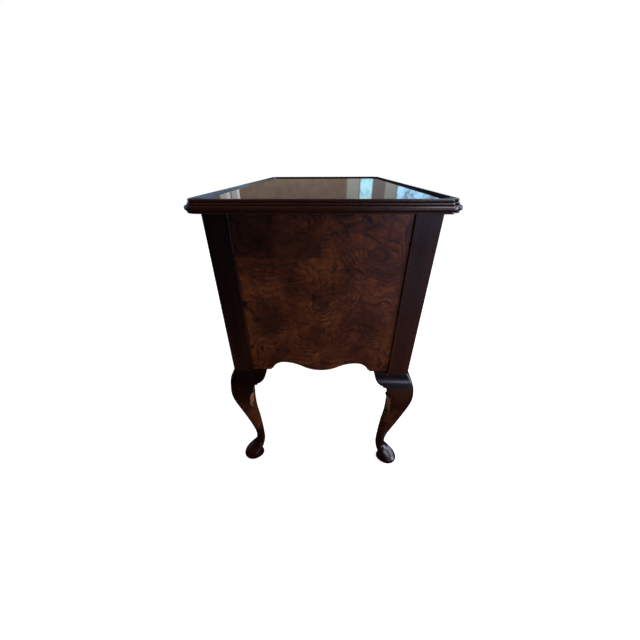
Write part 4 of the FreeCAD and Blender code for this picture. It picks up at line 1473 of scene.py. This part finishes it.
    def bead(self, rear: bool, turn: bool) -> Item:
        """The small round bead that the scroll hangs from.

        Args:
            rear: Whether it is a rear leg.
            turn: Whether it goes on the other bracketed face.

        Returns:
            The bead to weld on.
        """
        Bench.clear()
        bpy.ops.mesh.primitive_uv_sphere_add(segments=24, ring_count=16, radius=self.scroll.bead_radius,
                                             location=self.on_face(self.scroll.bead, rear))
        bead = bpy.context.object
        bpy.ops.object.transform_apply(location=True, rotation=True, scale=True)
        return self.turn_over(bead, turn)

    @staticmethod
    def mirrored(pattern: Item, name: str, corner: Corner) -> Item:
        """A copy of the pattern with its own mesh, moved to a corner.

        Args:
            pattern: The leg at +X and +Y.
            name: The copy's name.
            corner: The corner that it moves to.

        Returns:
            The copy.
        """
        copy = pattern.copy()
        copy.data = pattern.data.copy()
        copy.name = copy.data.name = name
        bpy.context.scene.collection.objects.link(copy)
        side_x, side_y = corner.sides
        copy.data.transform(Matrix.Diagonal((side_x, side_y, 1, 1)))
        if side_x * side_y < 0:
            copy.data.flip_normals()
        return copy


@dataclass
class DrawerSet:
    """The four drawers with their fronts, boxes and brasses."""

    names: tuple[str, ...] = ("long_drawer", "left_drawer", "centre_drawer", "right_drawer")
    band: float = 0.017
    bead: float = 0.003
    arris: float = 0.0006
    mount_arris: float = 0.0003

    def build(self, shop: Workshop) -> None:
        """Dress each drawer and its handles.

        Args:
            shop: The frame, the shared groups and the finished materials.
        """
        brass = BRASS.material(shop.groups)
        for name in self.names:
            self.build_drawer(shop, name, brass)

    def build_drawer(self, shop: Workshop, name: str, brass: Material) -> None:
        """Ease one drawer's front and dress the rest of it.

        Args:
            shop: The frame, the shared groups and the finished materials.
            name: The drawer's name.
            brass: The material of its handles.
        """
        low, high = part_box(f"{name}_front")
        middle = ((low.x + high.x) / 2, (low.z + high.z) / 2)
        half = ((high.x - low.x) / 2 - self.bead, (high.z - low.z) / 2 - self.bead)
        veneer = BurlField(f"{name}_burl", middle, half, ("X", "Z"), self.band)
        shop.eased(f"{name}_front", self.arris, veneer.material(shop.groups))
        dress(shop.nodes[f"{name}_sides"], shop.wood(PINE, Grain.ALONG_Y))
        for part in ("back", "bottom"):
            dress(shop.nodes[f"{name}_{part}"], shop.wood(PINE, Grain.ALONG_X))
        shop.eased(f"{name}_handle_mounts", self.mount_arris, brass)
        for node in shop.nodes:
            if node.startswith(f"{name}_bail"):
                dress(shop.nodes[node], brass)


# ---- Stage ----

class Facing(Enum):
    """The way a stage card faces: its turn, and the axes that its own X and Y come to lie along."""

    UP = ((0.0, 0.0, 0.0), 0, 1)
    PLUS_X = ((0.0, math.pi / 2, 0.0), 2, 1)
    PLUS_Y = ((-math.pi / 2, 0.0, 0.0), 0, 2)


@dataclass(frozen=True)
class Card:
    """A plain card that only reflections see: a wall, a carpet or a window of the room."""

    name: str
    facing: Facing
    low: Point
    high: Point
    colour: Colour
    soft: float = 0.0
    uneven: float = 0.0

    def build(self) -> None:
        """Set the card up between its two corners."""
        turn, across, up = self.facing.value
        middle = tuple((a + b) / 2 for a, b in zip(self.low, self.high))
        spans = [b - a for a, b in zip(self.low, self.high)]
        bpy.ops.mesh.primitive_plane_add(size=1.0, location=middle, rotation=turn)
        card = bpy.context.object
        card.name = self.name
        card.scale = (spans[across], spans[up], 1.0)
        card.data.materials.append(self.glow(spans[across], spans[up]))
        for ray in ("camera", "diffuse", "transmission", "volume_scatter", "shadow"):
            setattr(card, f"visible_{ray}", False)
        card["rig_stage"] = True

    def glow(self, width: float, height: float) -> Material:
        """The card's light, which fades out at its edges where the card is soft.

        Args:
            width: The card's width, in metres.
            height: The card's height, in metres.

        Returns:
            The card's material.
        """
        material = bpy.data.materials.new(self.name)
        material.use_nodes = True
        bench = NodeBench(material.node_tree)
        place = bench.add("ShaderNodeNewGeometry").outputs["Position"]
        patches = bench.step(bench.noise(place, 7.0, 5.0, 0.7).outputs[0], 0.40, 0.58)
        strength = bench.maths("MULTIPLY_ADD", patches, self.uneven, 1.0 - self.uneven)
        light = bench.add("ShaderNodeEmission", {"Color": (*self.colour, 1.0), "Strength": strength})
        if self.soft:
            axes = bench.split(bench.add("ShaderNodeTexCoord").outputs["Object"])
            fades = []
            for axis, span in (("X", width), ("Y", height)):
                away = bench.maths("ABSOLUTE", axes[axis])
                fades.append(bench.step(away, 0.5, 0.5 - min(self.soft / span, 0.5)))
            clear = bench.add("ShaderNodeBsdfTransparent")
            light = bench.add("ShaderNodeMixShader", {0: bench.times(*fades), 1: clear, 2: light})
        bench.feed(bench.tree.nodes["Material Output"].inputs[0], light)
        return material


@dataclass
class Studio:
    """White floor and surround, soft lamps, and the room that the polish reflects."""

    floor_side: float = 60.0
    floor_white: float = 0.82
    world_light: float = 0.24
    cards: tuple[Card, ...] = (
        Card("wall_beyond", Facing.PLUS_X, (2.05, -3.2, 0.0), (2.05, 3.2, 3.2), (0.215, 0.162, 0.125),
             uneven=0.16),
        Card("wall_behind", Facing.PLUS_X, (-3.2, -3.2, 0.0), (-3.2, 3.2, 3.2), (0.012, 0.010, 0.010)),
        Card("wall_at_back", Facing.PLUS_Y, (-3.2, 3.2, 0.0), (2.05, 3.2, 3.2), (0.018, 0.018, 0.026)),
        Card("wall_at_front", Facing.PLUS_Y, (-3.2, -3.2, 0.0), (2.05, -3.2, 3.2), (0.030, 0.027, 0.030)),
        Card("ceiling", Facing.UP, (-3.2, -3.2, 3.2), (2.05, 3.2, 3.2), (0.050, 0.048, 0.052)),
        Card("carpet", Facing.UP, (-3.2, -3.2, 0.0004), (2.05, 3.2, 0.0004), (0.010, 0.007, 0.006)),
        Card("curtain_left", Facing.PLUS_X, (2.0, 0.865, 0.0), (2.0, 1.09, 2.2), (0.44, 0.44, 0.46), 0.02),
        Card("fold_near", Facing.PLUS_X, (1.98, 0.865, 0.0), (1.98, 0.895, 2.2), (0.80, 0.78, 0.74), 0.01),
        Card("fold_gap", Facing.PLUS_X, (1.98, 0.945, 0.0), (1.98, 0.965, 2.2), (0.13, 0.13, 0.13), 0.01),
        Card("fold_far", Facing.PLUS_X, (1.98, 0.965, 0.0), (1.98, 1.010, 2.2), (0.66, 0.66, 0.66), 0.01),
        Card("window_back", Facing.PLUS_Y, (0.1, 3.15, 0.5), (2.0, 3.15, 2.4), (0.34, 0.40, 0.60), 0.2),
        Card("wall_dark_left", Facing.PLUS_X, (2.0, 1.10, 0.0), (2.0, 3.2, 2.2), (0.10, 0.15, 0.28), 0.05),
        Card("blind", Facing.PLUS_X, (2.0, -0.345, 0.0), (2.0, -0.195, 2.2), (0.36, 0.36, 0.33), 0.03),
        Card("window_near", Facing.PLUS_X, (2.0, -0.470, 0.0), (2.0, -0.330, 2.2), (0.66, 1.20, 1.44), 0.02,
             uneven=0.35),
        Card("window_bar", Facing.PLUS_X, (2.0, -0.590, 0.0), (2.0, -0.460, 2.2), (0.19, 0.17, 0.175), 0.02),
        Card("curtain_right", Facing.PLUS_X, (2.0, -0.710, 0.0), (2.0, -0.575, 2.2), (0.33, 0.35, 0.34), 0.02),
        Card("window_far", Facing.PLUS_X, (2.0, -3.00, 0.0), (2.0, -0.695, 2.4), (0.66, 1.16, 1.62), 0.02,
             uneven=0.6),
        Card("dado_dark", Facing.PLUS_X, (1.97, 0.10, 0.0), (1.97, 3.1, 0.62), (0.05, 0.12, 0.30), 0.03),
        Card("terrace_far", Facing.PLUS_X, (1.97, -0.62, 0.0), (1.97, 0.10, 0.62), (2.4, 3.4, 5.0), 0.05),
        Card("terrace_near", Facing.PLUS_X, (1.97, -1.9, 0.0), (1.97, -0.58, 0.62), (2.2, 1.8, 3.4), 0.05),
        Card("garden_door", Facing.PLUS_Y, (0.9, -3.1, 0.2), (2.0, -3.1, 2.4), (2.6, 3.3, 4.8), 0.05),
        Card("window_side", Facing.PLUS_Y, (-2.3, -3.1, 0.05), (-0.7, -3.1, 2.1), (5.6, 6.2, 7.6), 0.1),
        Card("window_front", Facing.PLUS_Y, (-0.8, -3.1, 1.05), (0.9, -3.1, 2.3), (3.6, 3.7, 4.6), 0.15),
        Card("pale_wall", Facing.PLUS_X, (-3.1, -3.1, -0.9), (-3.1, -0.1, 2.4), (0.05, 0.10, 0.21), 0.9),
        Card("window_behind", Facing.PLUS_X, (-3.05, -2.3, 0.55), (-3.05, -0.7, 1.2), (2.5, 2.5, 3.3), 0.12),
        Card("skylight", Facing.UP, (-2.6, -3.1, 3.15), (1.0, -0.9, 3.15), (3.2, 3.2, 3.9), 0.3),
        Card("lit_carpet", Facing.UP, (-3.1, -3.1, 0.0008), (-0.6, -0.0, 0.0008), (0.25, 0.20, 0.28), 0.8),
        Card("near_carpet", Facing.UP, (-1.6, -2.0, 0.0012), (-0.5, -0.05, 0.0012), (0.27, 0.10, 0.07), 0.4),
    )
    lamps: tuple[tuple[str, Point, float, float], ...] = (
        ("lamp_front", (-1.1, -1.30, 1.0), 0.9, 12.6),
        ("lamp_above", (-0.3, -1.0, 3.2), 2.4, 34.0),
        ("lamp_back", (1.8, 2.6, 2.6), 2.4, 26.0),
    )
    aim: Point = (0.0, 0.0, 0.45)

    def build(self) -> None:
        """Set up floor, world, lamps and cards."""
        self.build_world()
        self.build_floor()
        for name, place, side, power in self.lamps:
            bpy.ops.object.light_add(type="AREA", location=place)
            lamp = bpy.context.object
            lamp.name = name
            lamp.data.size = side
            lamp.data.energy = power
            lamp.rotation_euler = (Vector(self.aim) - Vector(place)).to_track_quat("-Z", "Y").to_euler()
            lamp.visible_glossy = False
            lamp.visible_camera = False
        for card in self.cards:
            card.build()

    @staticmethod
    def seen(bench: NodeBench) -> Socket:
        """1 for camera, glossy and transmission rays, 0 for the light on the object.

        Args:
            bench: The bench of a material or of the world.

        Returns:
            The mask.
        """
        rays = bench.add("ShaderNodeLightPath").outputs
        seen = bench.maths("MAXIMUM", rays["Is Camera Ray"], rays["Is Glossy Ray"])
        return bench.maths("MAXIMUM", seen, rays["Is Transmission Ray"])

    def build_world(self) -> None:
        """White to the eye and to polish, and a plain soft light on the object."""
        world = bpy.data.worlds.new("surround")
        bpy.context.scene.world = world
        world.use_nodes = True
        bench = NodeBench(world.node_tree)
        strength = bench.blend_values(self.seen(bench), self.world_light, 1.0)
        background = world.node_tree.nodes["Background"]
        background.inputs["Color"].default_value = (1.0, 1.0, 1.0, 1.0)
        world.cycles.sampling_method = "NONE"
        bench.feed(background.inputs["Strength"], strength)

    def build_floor(self) -> None:
        """A pale floor that keeps the object's shadow and otherwise meets the surround."""
        bpy.ops.mesh.primitive_plane_add(size=self.floor_side, location=(0.0, 0.0, 0.0))
        floor = bpy.context.object
        floor.name = "floor"
        material = bpy.data.materials.new("floor_paper")
        material.use_nodes = True
        bench = NodeBench(material.node_tree)
        grain = bench.noise(bench.add("ShaderNodeTexCoord").outputs["Object"], 3.0, 4.0).outputs[0]
        paper = bench.ramp(grain, ((0.3, (0.78, 0.78, 0.78)), (0.7, (0.82, 0.82, 0.82))))
        diffuse = bench.add("ShaderNodeBsdfDiffuse", {"Color": paper})
        glow = bench.add("ShaderNodeEmission", {"Strength": bench.times(self.seen(bench), self.floor_white)})
        both = bench.add("ShaderNodeAddShader", {0: diffuse, 1: glow})
        bench.feed(bench.tree.nodes["Material Output"].inputs[0], both)
        floor.data.materials.append(material)
        floor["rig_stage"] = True


@dataclass(frozen=True)
class Camera:
    """The camera near the left end of the case, a little above its top."""

    place: Point = (-0.908776, -0.009936, 0.812688)
    turn: float = 2.26
    dip: float = 30.87
    roll: float = -0.29
    focal_pixels: float = 261.6
    centre_x: float = 315.9

    def build(self) -> None:
        """Make the camera and use it."""
        data = bpy.data.cameras.new("camera")
        camera = bpy.data.objects.new("camera", data)
        bpy.context.scene.collection.objects.link(camera)
        aim = Matrix.Rotation(math.radians(self.turn) - math.pi / 2, 4, "Z")
        dip = Matrix.Rotation(math.pi / 2 - math.radians(self.dip), 4, "X")
        roll = Matrix.Rotation(math.radians(self.roll), 4, "Z")
        camera.location = self.place
        camera.rotation_euler = (aim @ dip @ roll).to_euler()
        data.sensor_width = SENSOR_WIDTH
        data.lens = self.focal_pixels * SENSOR_WIDTH / IMAGE_SIDE
        data.shift_x = (IMAGE_SIDE / 2 - self.centre_x) / IMAGE_SIDE
        data.clip_start = 0.01
        bpy.context.scene.camera = camera


def main() -> None:
    """Load the frame, dress the lowboy and set the stage."""
    logging.basicConfig(level=logging.INFO, format="%(name)s: %(message)s")
    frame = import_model()
    cad_box = [corner.copy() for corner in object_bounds()]
    bpy.context.scene.view_settings.view_transform = "Standard"
    shop = Workshop(frame)
    for assembly in (Top(), Case(), Legs(), DrawerSet()):
        LOG.info("building %s", type(assembly).__name__)
        assembly.build(shop)
    Studio().build()
    Camera().build()


if __name__ == "__main__":
    main()
